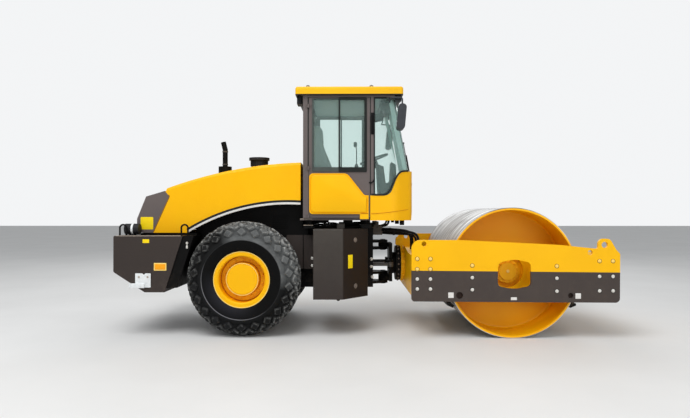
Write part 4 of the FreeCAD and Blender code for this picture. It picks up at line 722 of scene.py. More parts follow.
def shown(name, default):
    """Display colour property from values of 0 to 255."""
    return bpy.props.FloatVectorProperty(
        name=name,
        description="Display colour of the " + name.lower(),
        default=tuple(value / 255 for value in default),
        size=3,
        min=0.0,
        max=1.0,
        subtype="COLOR_GAMMA",
    )


def metres(name, description, default):
    return bpy.props.FloatProperty(name=name, description=description, default=default, unit="LENGTH")


def degrees(name, description, default):
    return bpy.props.FloatProperty(
        name=name, description=description, default=math.radians(default), unit="ROTATION"
    )


class RollerPaint(bpy.types.PropertyGroup):
    yellow: shown("Yellow paint", (255, 192, 0))
    yellow_shade: shown("Yellow paint shade", (252, 182, 0))
    grey: shown("Grey paint", (58, 51, 48))
    cab_grey: shown("Cab paint", (106, 97, 95))
    black: shown("Black paint", (10, 9, 9))
    glass_tint: shown("Glass tint", (205, 232, 226))


class RollerSizes(bpy.types.PropertyGroup):
    bolt_radius: metres("Bolt head", "Radius of a side plate bolt head", 0.0165)
    tread_count: bpy.props.IntProperty(
        name="Tread blocks", description="Blocks in one row round the tyre", default=22, min=8
    )
    tread_depth: metres("Tread depth", "Height of a block at the crown", 0.038)
    stripe_width: metres("Hood stripe", "Width of the white stripe on the hood", 0.026)
    line_width: metres("Hood line", "Width of the black line above the stripe", 0.028)
    pad_growth: metres("Pad growth", "Furthest that the seat's cloth may swell", 0.014)


class RollerStage(bpy.types.PropertyGroup):
    camera_place: bpy.props.FloatVectorProperty(
        name="Camera place", description="Where the camera stands", default=(-0.165, -8.065, 1.534), unit="LENGTH"
    )
    camera_rise: degrees("Camera rise", "Angle above the level", 0.4)
    camera_yaw: degrees("Camera yaw", "Turn to the machine's rear", 0.5)
    focal_pixels: bpy.props.FloatProperty(
        name="Focal length", description="Focal length in pixels of a picture 690 wide", default=570.0
    )


def seen(value):
    """A colour property as values of 0 to 255."""
    return tuple(255 * part for part in value)


class ROLLER_OT_finishes(bpy.types.Operator):
    """Make the materials and give one to every node of the frame"""

    bl_idname = "roller.finishes"
    bl_label = "Finishes"

    def execute(self, context):
        colours = context.scene.roller_paint
        yellow, yellow_shade = seen(colours.yellow), seen(colours.yellow_shade)
        grey, cab_grey, black = seen(colours.grey), seen(colours.cab_grey), seen(colours.black)
        FINISHES.update(
            yellow=paint("yellow_paint", yellow, yellow_shade, dust=0.0),
            grey=paint("grey_paint", grey, (62, 54, 50), 0.5),
            # The tanks' third colour is the painted shade of their slanting front face
            tank=tank_paint("tank_paint", grey, (38, 30, 26)),
            cab=paint("cab_paint", cab_grey, (98, 90, 88), 0.5),
            black=paint("black_paint", black, (14, 13, 12), 0.5, 0.12),
            plates=two_tone_paint("side_plate_paint", yellow, (68, 60, 57), (PLATES[0].x, 0.836), (PLATES[1].x, 0.815)),
            drum=drum_steel("drum_finish", yellow),
            roof=roof_paint("roof_paint", (248, 190, 6), (240, 180, 4)),
            lining=plain("roof_lining", (196, 204, 202), (184, 192, 190), 0.8, 0.0, 20.0),
            # Dark brown discs of painted shade in the plates' low holes
            plug=plain("plate_hole_shade", (52, 34, 26), (40, 28, 22), 0.7, 0.0, 20.0),
            rod=plain("steer_rod_steel", (96, 94, 92), (70, 68, 66), 0.4, 0.3, 30.0),
            rubber=tyre_rubber("tyre_rubber"),
            # Black rubber of the seals, and painted shadow round the lower plate bolts
            seal=plain("black_seal_and_shadow", (20, 24, 22), (30, 34, 32), 0.6),
            plastic=plain("dark_plastic", (30, 30, 32), (40, 40, 43), 0.55),
            mirror_back=plain("mirror_back", (52, 54, 58), (62, 64, 69), 0.5),
            mirror=plain("mirror_silver", (224, 228, 230), (214, 219, 222), 0.08, 1.0, 6.0, 0.02),
            trim=plain("cab_trim", (66, 72, 69), (78, 84, 81), 0.7),
            cap=plain("tank_cap", (132, 120, 110), (104, 94, 86), 0.55),
            dusty=plain("dusty_grey", (92, 88, 84), (66, 62, 59), 0.75, 0.0, 25.0, 0.3, 0.001),
            zinc=plain("zinc_bolt", (238, 236, 230), (206, 202, 194), 0.35, 0.3, 60.0, specular=0.5),
            # Cream: paint of the upper bolts, and painted highlight on the rims' lines
            cream=plain("cream_paint_and_highlight", (255, 226, 140), (250, 208, 90), 0.4, 0.0, 60.0),
            washer=plain("painted_washer", (150, 100, 6), (128, 84, 6), 0.5, 0.0, 60.0),
            crease=plain("paint_shadow", (206, 122, 0), (190, 108, 0), 0.6, 0.0, 20.0),
            galvanised=plain("galvanised", (242, 244, 244), (222, 227, 228), 0.45, 0.1, 30.0, specular=0.5),
            # Pale grey: painted highlights on edges, and the bracket's bolts
            edge=plain("pale_grey_highlight", (186, 172, 158), (150, 138, 126), 0.6, 0.0, 40.0),
            white=plain("white_film", (232, 230, 226), (220, 217, 212), 0.4, 0.0, 8.0),
            label=plain("yellow_film", (255, 226, 24), (252, 216, 18), 0.4, 0.0, 8.0),
            amber=plain("amber_lens", (255, 176, 30), (252, 160, 16), 0.2, 0.0, 90.0, 0.5, 0.001),
            glass=glass("cab_glass", seen(colours.glass_tint)),
            cloth=woven("seat_cloth", (132, 140, 137), (156, 163, 160)),
            hose=plain("hose_rubber", (8, 8, 9), (14, 14, 15), 0.5, 0.0, 20.0, 0.3, 0.001, 0.15),
            lamp=plain("lamp_lens", (216, 220, 222), (190, 196, 200), 0.15, 0.2, 40.0, 0.4, 0.001),
        )
        # finish: the nodes that wear it
        wearers = {
            "plates": ["frame_plates"],
            "drum": ["drum"],
            "rubber": ["tyre_right", "tyre_left"],
            "yellow": [
                "front_beam", "rear_beam", "drum_supports", "rim_right", "rim_left", "hood_shell",
                "cab_nose", "door_skin_right", "door_skin_left",
            ],
            "grey": ["counterweight"],
            "tank": ["side_tanks"],
            "roof": ["cab_roof"],
            "cab": ["hood_grille", "cab_rear_wall", "cab_frame", "door_right", "door_left", "cab_floor"],
            "black": [
                "scrapers", "centre_link", "steer_barrel_right", "steer_barrel_left", "frame_rails",
                "articulation_fork", "tail_frame", "lifting_hoops", "rear_axle", "engine",
                "engine_side_panels", "exhaust_stack", "cab_beams",
            ],
            "plastic": ["pre_cleaner", "seat_base", "steering_console", "work_lamps"],
            "mirror_back": ["mirrors"],
            "rod": ["steer_rod_right", "steer_rod_left"],
            "glass": ["cab_glass", "door_glass_right", "door_glass_left"],
            "cloth": ["seat_cushions"],
        }
        for finish, names in wearers.items():
            for name in names:
                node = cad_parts[name]
                node.data.materials.clear()
                node.data.materials.append(FINISHES[finish])
        return {"FINISHED"}


# Drum frame

# X of a column of side plate bolts: heights of its bolts
PLATE_BOLTS = {
    0.650: (0.978, 0.853, 0.734, 0.613),
    0.809: (0.978, 0.853, 0.734, 0.613),
    1.315: (0.898, 0.752, 0.605),
    2.335: (0.892, 0.745, 0.589),
    2.849: (0.953, 0.768, 0.594),
    3.011: (0.953, 0.768, 0.594),
}
PAINT_SPLIT_Z = 0.83
# X, Z, width, height of a blank white label
PLATE_LABELS = ((1.057, 0.539, 0.066, 0.066), (2.591, 0.531, 0.066, 0.066), (1.816, 0.498, 0.072, 0.034))
# X, Z and radius of the dark discs of painted shade in the two low holes of a side plate, and their Y
PLATE_HOLE_SHADES = ((2.502, 0.536, 0.0318), (1.162, 0.536, 0.0418))
HOLE_SHADE_Y = -1.120
MOTOR_FACE_Y = -0.850
MOTOR_FLANGE_Y = -0.823
# Piece, bolt radius, X, finish and body of the two rings of bolts at the joint
JOINT_BOLTS = (
    ("hub_bolts", 0.012, 0.5625, "yellow", "drum_frame"),
    ("link_bolts", 0.0085, 0.503, "cap", "link"),
)
JOINT_RING_RADIUS = 0.240
JOINT_Z = 0.835


def bolt(radius, height):
    """Hexagon head with a domed top on a washer, pointing to -Y from the origin."""
    foot = -height * 0.3
    washer = lathe(stub(radius * 1.4, radius * 1.25, 0.001, -height * 0.2, foot), segments=20)
    head = lathe(stub(radius, radius * 0.86, foot, -height * 0.85, -height), segments=6)
    return gathered(washer, head)


def bolt_ring(radius, height, ring, count, centre):
    """Bolts that point to -Y, evenly spaced on a circle round an axle along Y."""
    angle = (np.arange(count) + 0.5) * 2 * math.pi / count
    x = centre[0] + ring * np.cos(angle)
    z = centre[2] + ring * np.sin(angle)
    return copies(bolt(radius, height), np.stack([x, np.full(count, centre[1]), z], 1))


class ROLLER_OT_side_plates(bpy.types.Operator):
    """Bolts, washers and blank labels of the drum frame, and the bolts of its motor and of the rings at the joint"""

    bl_idname = "roller.side_plates"
    bl_label = "Side plates"

    def execute(self, context):
        radius = context.scene.roller_sizes.bolt_radius
        face = PLATES[0].y
        places = np.array([(x, face, z) for x, rows in PLATE_BOLTS.items() for z in rows])
        upper = places[:, 2] > PAINT_SPLIT_Z
        head = bolt(radius * 0.92, 0.014)
        ring = lathe(rectangle(radius * 0.9, radius * 1.65, 0.001, -0.002), segments=24, ring=True)
        # The black rings round the lower bolts are a painted shadow
        for name, shape, where, finish in (
            ("plate_bolts_upper", head, upper, "cream"),
            ("plate_washers", ring, upper, "washer"),
            ("plate_bolts_lower", head, ~upper, "zinc"),
            ("plate_bolt_shadows_lower", ring, ~upper, "seal"),
        ):
            piece(name, both(copies(shape, places[where])), finish, "drum_frame")
        labels = [film((x - w / 2, z - h / 2), (x + w / 2, z + h / 2), face) for x, z, w, h in PLATE_LABELS]
        piece("plate_labels", gathered(*labels), "white", "drum_frame")
        # Dark discs in the two low holes of each plate: painted shade
        hole_shades = [lathe(rectangle(0, size, -0.002, 0.002), (x, HOLE_SHADE_Y, z), segments=40) for x, z, size in PLATE_HOLE_SHADES]
        piece("plate_hole_shades", both(gathered(*hole_shades)), "plug", "drum_frame")
        centre = (DRUM_X, MOTOR_FACE_Y, DRUM_RADIUS)
        plug = lathe(stub(0.020, 0.015, 0.002, -0.008, -0.012), centre, segments=24)
        piece("motor_plugs", both(plug), "cream", "drum_frame")
        flange = bolt_ring(0.010, 0.012, 0.130, 12, (DRUM_X, MOTOR_FLANGE_Y, DRUM_RADIUS))
        piece("motor_bolts", both(flange), "yellow", "drum_frame")
        for name, size, place, finish, body in JOINT_BOLTS:
            points, faces = facing(bolt(size, 0.014), "+z")
            x, y, z = (points + (0, 0, JOINT_RING_RADIUS)).T
            studs = []
            for angle in np.radians(np.arange(0, 360, 18)):
                cos, sin = math.cos(angle), math.sin(angle)
                studs.append((np.stack([x + place, y * cos - z * sin, JOINT_Z + y * sin + z * cos], 1), faces))
            piece(name, gathered(*studs), finish, body)
        return {"FINISHED"}


# Wheels

# Radius and Y from the middle along one side of the tyre, bead to crown
TYRE_SIDE = (
    (0.3263, 0.180), (0.352, 0.226), (0.390, 0.246), (0.440, 0.256), (0.480, 0.258), (0.530, 0.257),
    (0.575, 0.249), (0.612, 0.237), (0.645, 0.217), (0.672, 0.187), (0.692, 0.143), (0.707, 0.090), (0.715, 0.035),
)
# Height and half width of the thin ridge
RIDGE_HEIGHT = 0.004
RIDGE_WIDTH = 0.0055
TREAD_ROWS = 8
TREAD_ROW_STEP = 0.0826
# Distances from the crown's middle where the grooves begin to fade and end
TREAD_EDGE = (0.325, 0.385)
# Corners of a block as shares of half its cell, round the axle and across
LOZENGE = ((1, 0.10), (0.10, 1), (-0.10, 1), (-1, 0.10), (-1, -0.10), (-0.10, -1), (0.10, -1), (1, -0.10))
# Scale of the lozenge, share of the block's height and nearness to its edge, from its middle down to its foot
BLOCK_RINGS = ((0.0, 1.0, 0.0), (0.38, 1.0, 0.1), (0.49, 1.0, 1.0), (0.55, 0.90, 1.0), (0.76, -0.06, 0.0))
# How far the tyre's inside lies below its beads
BEAD_DEPTH = 0.012
# How far the foot of a block is sunk into the carcass
BLOCK_SUNK = 0.002
# Piece, finish, radius, Y and thickness of the lines round the rims: painted highlights in cream on the rim's lip
# and the hub's edge, painted shade in dark orange at the hub's foot and the disc's edge
RIM_LINES = (
    ("rim_lip", "cream", 0.3440, -1.0795, 0.0055),
    ("hub_edge", "cream", 0.1965, -1.0380, 0.0050),
    ("hub_foot", "crease", 0.2090, -0.9310, 0.0060),
    ("disc_edge", "crease", 0.2790, -0.9310, 0.0070),
)
LINE_ANGLES = np.radians(np.arange(0, 360, 45))
# Ring of wheel nuts: radius, Y of the disc's face, number
NUT_RING = (0.240, -0.930, 14)
# Path of a valve from the axle in X, from the disc's face in Y and from the axle in Z
VALVE = ((0.262, 0.004, 0.060), (0.256, -0.030, 0.058), (0.245, -0.055, 0.055))


def tyre_profile(count):
    """Radius, Y and outward normal along the tyre's outline, by equal steps of its length, bead to bead."""
    side = np.array(TYRE_SIDE)
    whole = np.vstack([side, side[::-1] * (1, -1)])
    fine = smooth_path(np.column_stack([whole, np.zeros(len(whole))]), 900)[:, :2]
    ridge = RIDGE_HEIGHT * np.exp(-(((fine[:, 0] - TYRE_RIDGE) / RIDGE_WIDTH) ** 2))
    fine[:, 1] += np.sign(fine[:, 1]) * ridge
    fine[:, 0] = np.minimum(fine[:, 0], WHEEL_RADIUS)
    reach = np.concatenate([[0], np.cumsum(np.linalg.norm(np.diff(fine, axis=0), axis=1))])
    place = np.linspace(0, reach[-1], count)
    radius = np.interp(place, reach, fine[:, 0])
    along = np.interp(place, reach, fine[:, 1])
    way = np.stack([np.gradient(radius), np.gradient(along)], 1)
    way /= np.linalg.norm(way, axis=1, keepdims=True)
    return radius, along, np.stack([-way[:, 1], way[:, 0]], 1), place - reach[-1] / 2


def tread_depth_at(place, depth):
    """Depth of the grooves by distance from the crown's middle: full over the crown and fading down the shoulder."""
    start, end = TREAD_EDGE
    return depth * np.clip((end - np.abs(place)) / (end - start), 0.0, 1.0)


def tyre_carcass(depth, centre, segments=168):
    """The tyre's outline drawn in by the groove depth and turned a full turn about the axle. Also gives the share
    of the full groove depth at each point."""
    radius, along, normal, place = tyre_profile(220)
    drop = tread_depth_at(place, depth)
    radius = radius - normal[:, 0] * drop
    along = along - normal[:, 1] * drop
    inner = [(radius[end] - BEAD_DEPTH, along[end]) for end in (-1, 0)]
    profile = np.vstack([np.stack([radius, along], 1), inner])
    groove = np.tile(np.concatenate([drop / depth, [0, 0]]), segments)
    return lathe(profile, centre, segments=segments, ring=True), groove


def tread_blocks(count, depth, centre):
    """Lozenge blocks on a staggered lattice over the tyre: each is rings of points round its middle, from the top
    of the block down to the carcass, laid on the outline by its length and round the axle by angle. Also gives
    how near each point is to the block's upper edge."""
    radius, along, normal, place = tyre_profile(600)
    rows = np.arange(TREAD_ROWS) - (TREAD_ROWS - 1) / 2
    step = 2 * math.pi / count
    middles = np.array([
        ((number + 0.5 * (index % 2)) * step, row * TREAD_ROW_STEP)
        for index, row in enumerate(rows) for number in range(count)
    ])
    rings = np.array(BLOCK_RINGS)
    size = np.array([step / 2, TREAD_ROW_STEP])
    local = rings[:, None, :1] * np.array(LOZENGE)[None] * size
    angle = middles[:, None, None, 0] + local[None, ..., 0]
    reach = middles[:, None, None, 1] + local[None, ..., 1]
    share = np.broadcast_to(rings[None, :, None, 1], reach.shape)
    lift = tread_depth_at(reach, depth) * (share - 1) - BLOCK_SUNK * (share < 0)
    r = np.interp(reach, place, radius) + np.interp(reach, place, normal[:, 0]) * lift
    y = np.interp(reach, place, along) + np.interp(reach, place, normal[:, 1]) * lift
    points = np.stack([centre[0] + r * np.cos(angle), centre[1] + y, centre[2] + r * np.sin(angle)], -1)
    index = np.arange(reach.size).reshape(reach.shape)
    ahead = np.roll(index, -1, 2)
    quads = np.stack([index[:, :-1], ahead[:, :-1], ahead[:, 1:], index[:, 1:]], -1).reshape(-1, 4)
    near_edge = np.broadcast_to(rings[None, :, None, 2], reach.shape).reshape(-1)
    return (points.reshape(-1, 3), quads), near_edge


class ROLLER_OT_wheels(bpy.types.Operator):
    """Tyres with lozenge tread, and the nuts and valves of the rear wheels"""

    bl_idname = "roller.wheels"
    bl_label = "Wheels"

    def execute(self, context):
        sizes = context.scene.roller_sizes
        ring, disc, count = NUT_RING
        axle = np.array((WHEEL_X, disc, WHEEL_RADIUS))
        for name, side in SIDES:
            body = name + "_wheel"
            centre = (WHEEL_X, side * abs(WHEEL_Y), WHEEL_RADIUS)
            carcass, groove = tyre_carcass(sizes.tread_depth, centre)
            blocks, near_edge = tread_blocks(sizes.tread_count, sizes.tread_depth, centre)
            values = {
                "groove": np.concatenate([groove, np.zeros(len(near_edge))]),
                "block_edge": np.concatenate([np.zeros(len(groove)), near_edge]),
            }
            tyre = piece("tyre_tread_" + name, gathered(carcass, blocks), "rubber", body, "tyre", 40, values)
            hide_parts("tyre_" + name)
            nuts = bolt_ring(0.014, 0.024, ring, count, axle)
            piece("wheel_nuts_" + name, sided(nuts, side), "yellow", body, "yellow_paint")
            valve = tube(axle + VALVE, 0.006, 10, 10)
            piece("valve_" + name, sided(valve, side), "crease", body)
            # Painted highlight and painted shade lines round the rim
            for label, finish, ring_radius, ring_y, thick in RIM_LINES:
                section = [(ring_radius + thick * math.cos(a), -thick * math.sin(a)) for a in LINE_ANGLES]
                line = lathe(section, (WHEEL_X, ring_y, WHEEL_RADIUS), segments=96, ring=True)
                piece(label + "_" + name, sided(line, side), finish, body)
        return {"FINISHED"}


# Hood


def circle_through(a, b, c):
    """Centre and radius of the circle through three (x, z) points."""
    a, b, c = np.array(a), np.array(b), np.array(c)
    matrix = 2 * np.array([b - a, c - a])
    square = np.array([b @ b - a @ a, c @ c - a @ a])
    centre = np.linalg.solve(matrix, square)
    return centre, np.linalg.norm(a - centre)


# Arch of the hood over the tyre, X and Z
ARCH = ((-0.798, 1.640), (-1.570, 1.567), (-2.240, 1.281))
# Where the hood's yellow shell meets its grey rear part, X and Z
HOOD_SEAM = ((-2.494, 1.764), (-2.481, 1.742), (-2.520, 1.655), (-2.580, 1.520), (-2.640, 1.386), (-2.683, 1.290))
# Lowest and highest (x, z) of the hood's blank label
HOOD_LABEL = ((-2.849, 1.323), (-2.686, 1.482))
# Exhaust pipe: X, radius, heights of its clamps; X of the pre-cleaner, and the fins' angle from one to the next
PIPE_X = -1.934
PIPE_RADIUS = 0.036
CLAMP_Z = (2.212, 2.392)
CLEANER_X = -1.449
FIN_STEP = 12
# Gap between the arch and its stripe
STRIPE_GAP = 0.0005


def arch_band(inner, outer, proud):
    """Band along the arch of the hood between two distances from its lower edge, on the hood's side face."""
    centre, radius = circle_through(*ARCH)
    ends = [math.atan2(point[1] - centre[1], point[0] - centre[0]) for point in (ARCH[0], ARCH[2])]
    angle = np.linspace(ends[0], ends[1] - 0.004, 70)
    way = np.stack([np.cos(angle), np.sin(angle)], 1)
    outline = np.vstack([centre + (radius + outer) * way, centre + (radius + inner) * way[::-1]])
    return slab(outline, HOOD[0].y - proud, HOOD[0].y + 0.001, 0.001)


class ROLLER_OT_hood(bpy.types.Operator):
    """Stripe, line and blank label of the hood, the clamps of its pipes and the fins of its pre-cleaner"""

    bl_idname = "roller.hood"
    bl_label = "Hood"

    def execute(self, context):
        sizes = context.scene.roller_sizes
        top = STRIPE_GAP + sizes.stripe_width
        piece("hood_stripe", both(arch_band(0.0, top, 0.0015)), "white", "hood")
        piece("hood_line", both(arch_band(top, top + sizes.line_width, 0.0025)), "seal", "hood")
        seam = side_band(skin_of("hood_shell", "hood_grille"), HOOD_SEAM, 0.010, 0.0015, 50)
        piece("hood_seams", both(seam), "washer", "hood")
        label = film(*HOOD_LABEL, HOOD[0].y, 0.012, 0.0015)
        piece("hood_label", label, "label", "hood")
        inner, outer = PIPE_RADIUS - 0.001, PIPE_RADIUS + 0.004
        clamps = [lathe(rectangle(inner, outer, z, z + 0.018), (PIPE_X, 0, 0), "z", 32, True) for z in CLAMP_Z]
        piece("exhaust_clamps", gathered(*clamps), "dusty", "hood")
        fins = []
        for angle in np.radians(np.arange(0, 360, FIN_STEP)):
            points, faces = turned(soft_box((0.108, -0.002, 2.196), (0.124, 0.002, 2.270), 0.0015, 2), angle)
            fins.append((points + (CLEANER_X, 0, 0), faces))
        piece("cleaner_fins", gathered(*fins), "plastic", "hood")
        return {"FINISHED"}


# Counterweight

# Lowest and highest (x, z) of the side reflector and of the blank label, and the width of the reflector's border
REFLECTOR = ((-2.594, 0.820), (-2.438, 0.915))
REFLECTOR_BORDER = 0.013
WEIGHT_LABEL = ((-2.736, 1.162), (-2.654, 1.208))
# Outline of the plate of the tie bracket, X and Z, and its two bolts
BRACKET = (
    (-2.822, 0.612), (-2.631, 0.612), (-2.631, 0.787), (-2.694, 0.787), (-2.716, 0.768), (-2.738, 0.787), (-2.822, 0.787)
)
BRACKET_BOLTS = ((-2.776, 0.742), (-2.668, 0.742))
DECK_Z = 1.251
# Place of a deck lamp's lens, facing the rear
DECK_LAMP = (-3.007, -0.860, 1.331)


class ROLLER_OT_counterweight(bpy.types.Operator):
    """Reflectors, tie bracket, lamp lenses, painted highlights along the deck's edges, and blank label of the
    counterweight
    """

    bl_idname = "roller.counterweight"
    bl_label = "Counterweight"

    def execute(self, context):
        face = WEIGHT[0].y
        border = sheet_plate(*REFLECTOR, face - 0.005, face + 0.001, 0.006, 0.002)
        piece("reflector_borders", both(border), "cream", "rear_frame")
        low, high = np.array(REFLECTOR[0]) + REFLECTOR_BORDER, np.array(REFLECTOR[1]) - REFLECTOR_BORDER
        lens = sheet_plate(low, high, face - 0.008, face + 0.001, 0.006, 0.003)
        piece("side_reflectors", both(lens), "amber", "rear_frame")
        piece("weight_label", film(*WEIGHT_LABEL, face), "label", "rear_frame")
        plate = slab(rounded([(x, z, 0.005) for x, z in BRACKET]), face - 0.012, face - 0.004, 0.001)
        foot = soft_box((-2.893, face - 0.040, 0.608), (-2.700, face - 0.004, 0.664), 0.004)
        back = soft_box((-2.80, face - 0.006, 0.63), (-2.64, face + 0.002, 0.77), 0.001)
        piece("side_bracket", gathered(plate, foot, back), "galvanised", "rear_frame")
        bolts = copies(bolt(0.009, 0.008), [(x, face - 0.012, z) for x, z in BRACKET_BOLTS])
        piece("bracket_bolts", bolts, "edge", "rear_frame")
        lens = lathe([(0, -0.010), (0.030, -0.008), (0.052, -0.002), (0.056, 0.003), (0, 0.003)], DECK_LAMP, "x", 32)
        piece("deck_lenses", both(lens), "lamp", "rear_frame")
        bezel = lathe(rectangle(0.066, 0.0705, 0.084, 0.110), DECK_LAMP, "x", 40, True)
        piece("lamp_bezels", both(bezel), "galvanised", "rear_frame")
        # Pale strips along the deck's top edges: painted highlight
        edge = soft_box((-3.070, face - 0.0005, DECK_Z - 0.005), (-2.262, face + 0.030, DECK_Z + 0.002), 0.001, 2)
        piece("deck_edge_highlights", both(edge), "edge", "rear_frame")
        head = copies(bolt(0.011, 0.014), [(-2.190, -1.0, 1.160)])
        stem = soft_box((-2.198, -1.016, 1.094), (-2.176, -0.998, 1.128), 0.003)
        pin = soft_box((-2.192, -1.012, 1.120), (-2.184, -0.998, 1.150), 0.002)
        piece("tail_clips", both(gathered(head, stem, pin)), "zinc", "rear_frame")
        return {"FINISHED"}


# Tanks, skirts and joint

# X and Z of the round caps on a tank's slanting face, and their profile
TANK_CAPS = ((-0.097, 1.195), (-0.094, 0.615))
CAP_PROFILE = (
    (0.031, 0.001), (0.031, -0.002), (0.026, -0.005), (0.022, -0.001), (0.016, -0.001), (0.014, -0.011),
    (0.010, -0.013), (0, -0.013),
)
# X and Z of the middle of the label there, its half width and half height
TANK_LABEL = ((-0.160, 0.928), (0.042, 0.084))
# X and Z of a white bolt head on the side of the frame, and of one on the skirts
FRAME_BOLTS = ((0.1216, 0.9164), (0.1216, 0.8155), (0.134, 0.676))
SKIRT_BOLTS = ((-0.661, 0.937), (-0.661, 0.840))
# Lowest and highest (x, z) of a dark panel inboard of the tyre
SKIRTS = (((-1.000, 0.800), (-0.785, 1.244)), ((-0.775, 0.800), (-0.640, 1.244)))
SKIRT_Y = -0.567
# Lowest corner, highest corner and radius of the blocks that the hoses start from, and of what is under the cab
VALVE_BLOCKS = (
    ((0.120, -0.285, 1.236), (0.278, -0.190, 1.364), 0.006),
    ((0.158, -0.300, 1.350), (0.226, -0.220, 1.420), 0.006),
    ((-0.335, -0.680, 1.331), (-0.235, -0.590, 1.398), 0.005),
)
CAB_BRACKETS = (
    ((0.503, -0.445, 1.372), (0.560, -0.375, 1.442), 0.006),
    ((0.385, -0.445, 1.408), (0.425, -0.395, 1.442), 0.004),
    ((-0.640, -0.420, 1.398), (-0.480, -0.330, 1.441), 0.004),
    ((-0.255, -0.560, 1.392), (-0.130, -0.330, 1.441), 0.004),
)
# Radius and path on the right side of a hose between two bodies
REAR_HOSES = (
    (0.017, ((0.262, -0.262, 1.305), (0.315, -0.306, 1.303), (0.375, -0.348, 1.300), (0.430, -0.355, 1.296))),
    (0.014, ((0.262, -0.244, 1.262), (0.315, -0.284, 1.259), (0.375, -0.316, 1.255), (0.430, -0.322, 1.252))),
)
FRONT_HOSES = (
    (0.017, ((0.424, -0.354, 1.2965), (0.500, -0.358, 1.291), (0.580, -0.362, 1.284), (0.660, -0.368, 1.272),
             (0.722, -0.376, 1.244), (0.752, -0.382, 1.190), (0.760, -0.386, 1.100), (0.760, -0.388, 0.998))),
    (0.014, ((0.424, -0.322, 1.2525), (0.500, -0.326, 1.250), (0.580, -0.332, 1.247), (0.660, -0.340, 1.240),
             (0.706, -0.346, 1.215), (0.728, -0.350, 1.160), (0.732, -0.352, 1.090), (0.732, -0.352, 0.998))),
)
# Radius and path of a hose that stays on the rear frame
FRAME_HOSES = (
    (0.014, ((0.366, -0.250, 1.445), (0.362, -0.250, 1.405), (0.336, -0.250, 1.370), (0.262, -0.245, 1.346))),
    (0.014, ((-0.640, -0.560, 1.362), (-0.480, -0.575, 1.352), (-0.300, -0.560, 1.344), (-0.120, -0.560, 1.350),
             (0.050, -0.540, 1.372), (0.120, -0.380, 1.365), (0.150, -0.270, 1.354))),
    (0.010, ((-0.640, -0.505, 1.420), (-0.520, -0.520, 1.404), (-0.420, -0.520, 1.372), (-0.260, -0.520, 1.370),
             (-0.080, -0.520, 1.395), (0.120, -0.420, 1.385), (0.190, -0.280, 1.382))),
    (0.010, ((-0.560, -0.640, 1.340), (-0.500, -0.650, 1.376), (-0.420, -0.640, 1.384), (-0.330, -0.620, 1.366))),
)

def hoses(rows, samples):
    """Hoses of both sides from rows of radius and path."""
    return both(gathered(*[tube(path, radius, samples) for radius, path in rows]))


class ROLLER_OT_rear_frame(bpy.types.Operator):
    """Caps, label and drains of the tanks, skirts, frame bolts, valve blocks and the hoses of the joint"""

    bl_idname = "roller.rear_frame"
    bl_label = "Rear frame"

    def execute(self, context):
        (x0, y0), (x1, y1) = TANK_CORNERS
        lean = math.atan2(y1 - y0, x1 - x0)

        def on_face(shape, x, z):
            points, faces = turned(shape, lean)
            return points + (x, y0 + (x - x0) * (y1 - y0) / (x1 - x0), z), faces

        cap = lathe(CAP_PROFILE, segments=32)
        caps = gathered(*[on_face(cap, x, z) for x, z in TANK_CAPS])
        piece("tank_caps", both(caps), "cap", "rear_frame")
        place, (half_x, half_z) = TANK_LABEL
        label = film((-half_x, -half_z), (half_x, half_z), 0.0)
        piece("tank_label", on_face(label, *place), "label", "rear_frame")
        drain = lathe(stub(0.020, 0.013, 0.468, 0.452, 0.444), (-0.310, -0.985, 0), "z", 20)
        piece("tank_drains", both(drain), "black", "rear_frame")
        lip = soft_box((-0.618, -1.052, 1.318), (-0.262, -1.046, 1.333), 0.002, 2)
        piece("tank_lips", both(lip), "dusty", "rear_frame")
        skin = skin_of("articulation_fork", "frame_rails")
        places = [on_side(skin, x, z) for x, z in FRAME_BOLTS] + [(x, SKIRT_Y, z) for x, z in SKIRT_BOLTS]
        piece("frame_bolts", both(copies(bolt(0.014, 0.014), places)), "zinc", "rear_frame")
        skirts = [sheet_plate(low, high, SKIRT_Y, SKIRT_Y + 0.006, 0.006, 0.001) for low, high in SKIRTS]
        shelves = [
            soft_box((low[0] + 0.02, SKIRT_Y + 0.002, low[1]), (high[0] - 0.02, -0.394, low[1] + 0.008), 0.001, 2)
            for low, high in SKIRTS
        ]
        piece("frame_skirts", both(gathered(*skirts, *shelves)), "grey", "rear_frame")
        piece("valve_blocks", both(boxes(VALVE_BLOCKS)), "dusty", "rear_frame")
        piece("cab_brackets", both(boxes(CAB_BRACKETS)), "black", "rear_frame")
        piece("frame_hoses", hoses(FRAME_HOSES, 50), "hose", "rear_frame")
        rear = piece("rear_hoses", hoses(REAR_HOSES, 60), "hose", None)
        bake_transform(rear)
        front = piece("front_hoses", hoses(FRONT_HOSES, 90), "hose", None)
        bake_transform(front)
        clamp = soft_box((0.412, -0.376, 1.234), (0.442, -0.300, 1.318), 0.008)
        piece("hose_clamps", both(clamp), "black", "link")
        return {"FINISHED"}


# Cab

CAB_FACE = -0.800
WINDOW_Y = (-0.811, -0.778)
# Lowest and highest (x, z) of the clear panes of the door window
REAR_PANE = ((-0.629, 2.118), (-0.311, 2.985))
FRONT_PANE = ((-0.290, 2.118), (0.0185, 2.979))
PULL_PATH = ((-0.10, -0.757, 1.90), (-0.10, -0.715, 1.92), (-0.10, -0.712, 2.02), (-0.10, -0.757, 2.04))
# Paths of the seal round the nose and of the painted shadow lines along the creases below it and on the door, X and Z
SEAL_PATH = (
    (0.108, 1.770), (0.180, 1.766), (0.252, 1.766), (0.292, 1.776), (0.333, 1.812), (0.366, 1.868), (0.398, 1.935),
    (0.432, 1.999), (0.464, 2.042), (0.498, 2.066), (0.540, 2.076), (0.592, 2.080),
)
NOSE_CREASE = ((0.104, 1.5265), (0.240, 1.534), (0.380, 1.550), (0.500, 1.566), (0.590, 1.580))
DOOR_CREASE = ((-0.030, 1.5300), (0.010, 1.5290), (0.066, 1.5275))
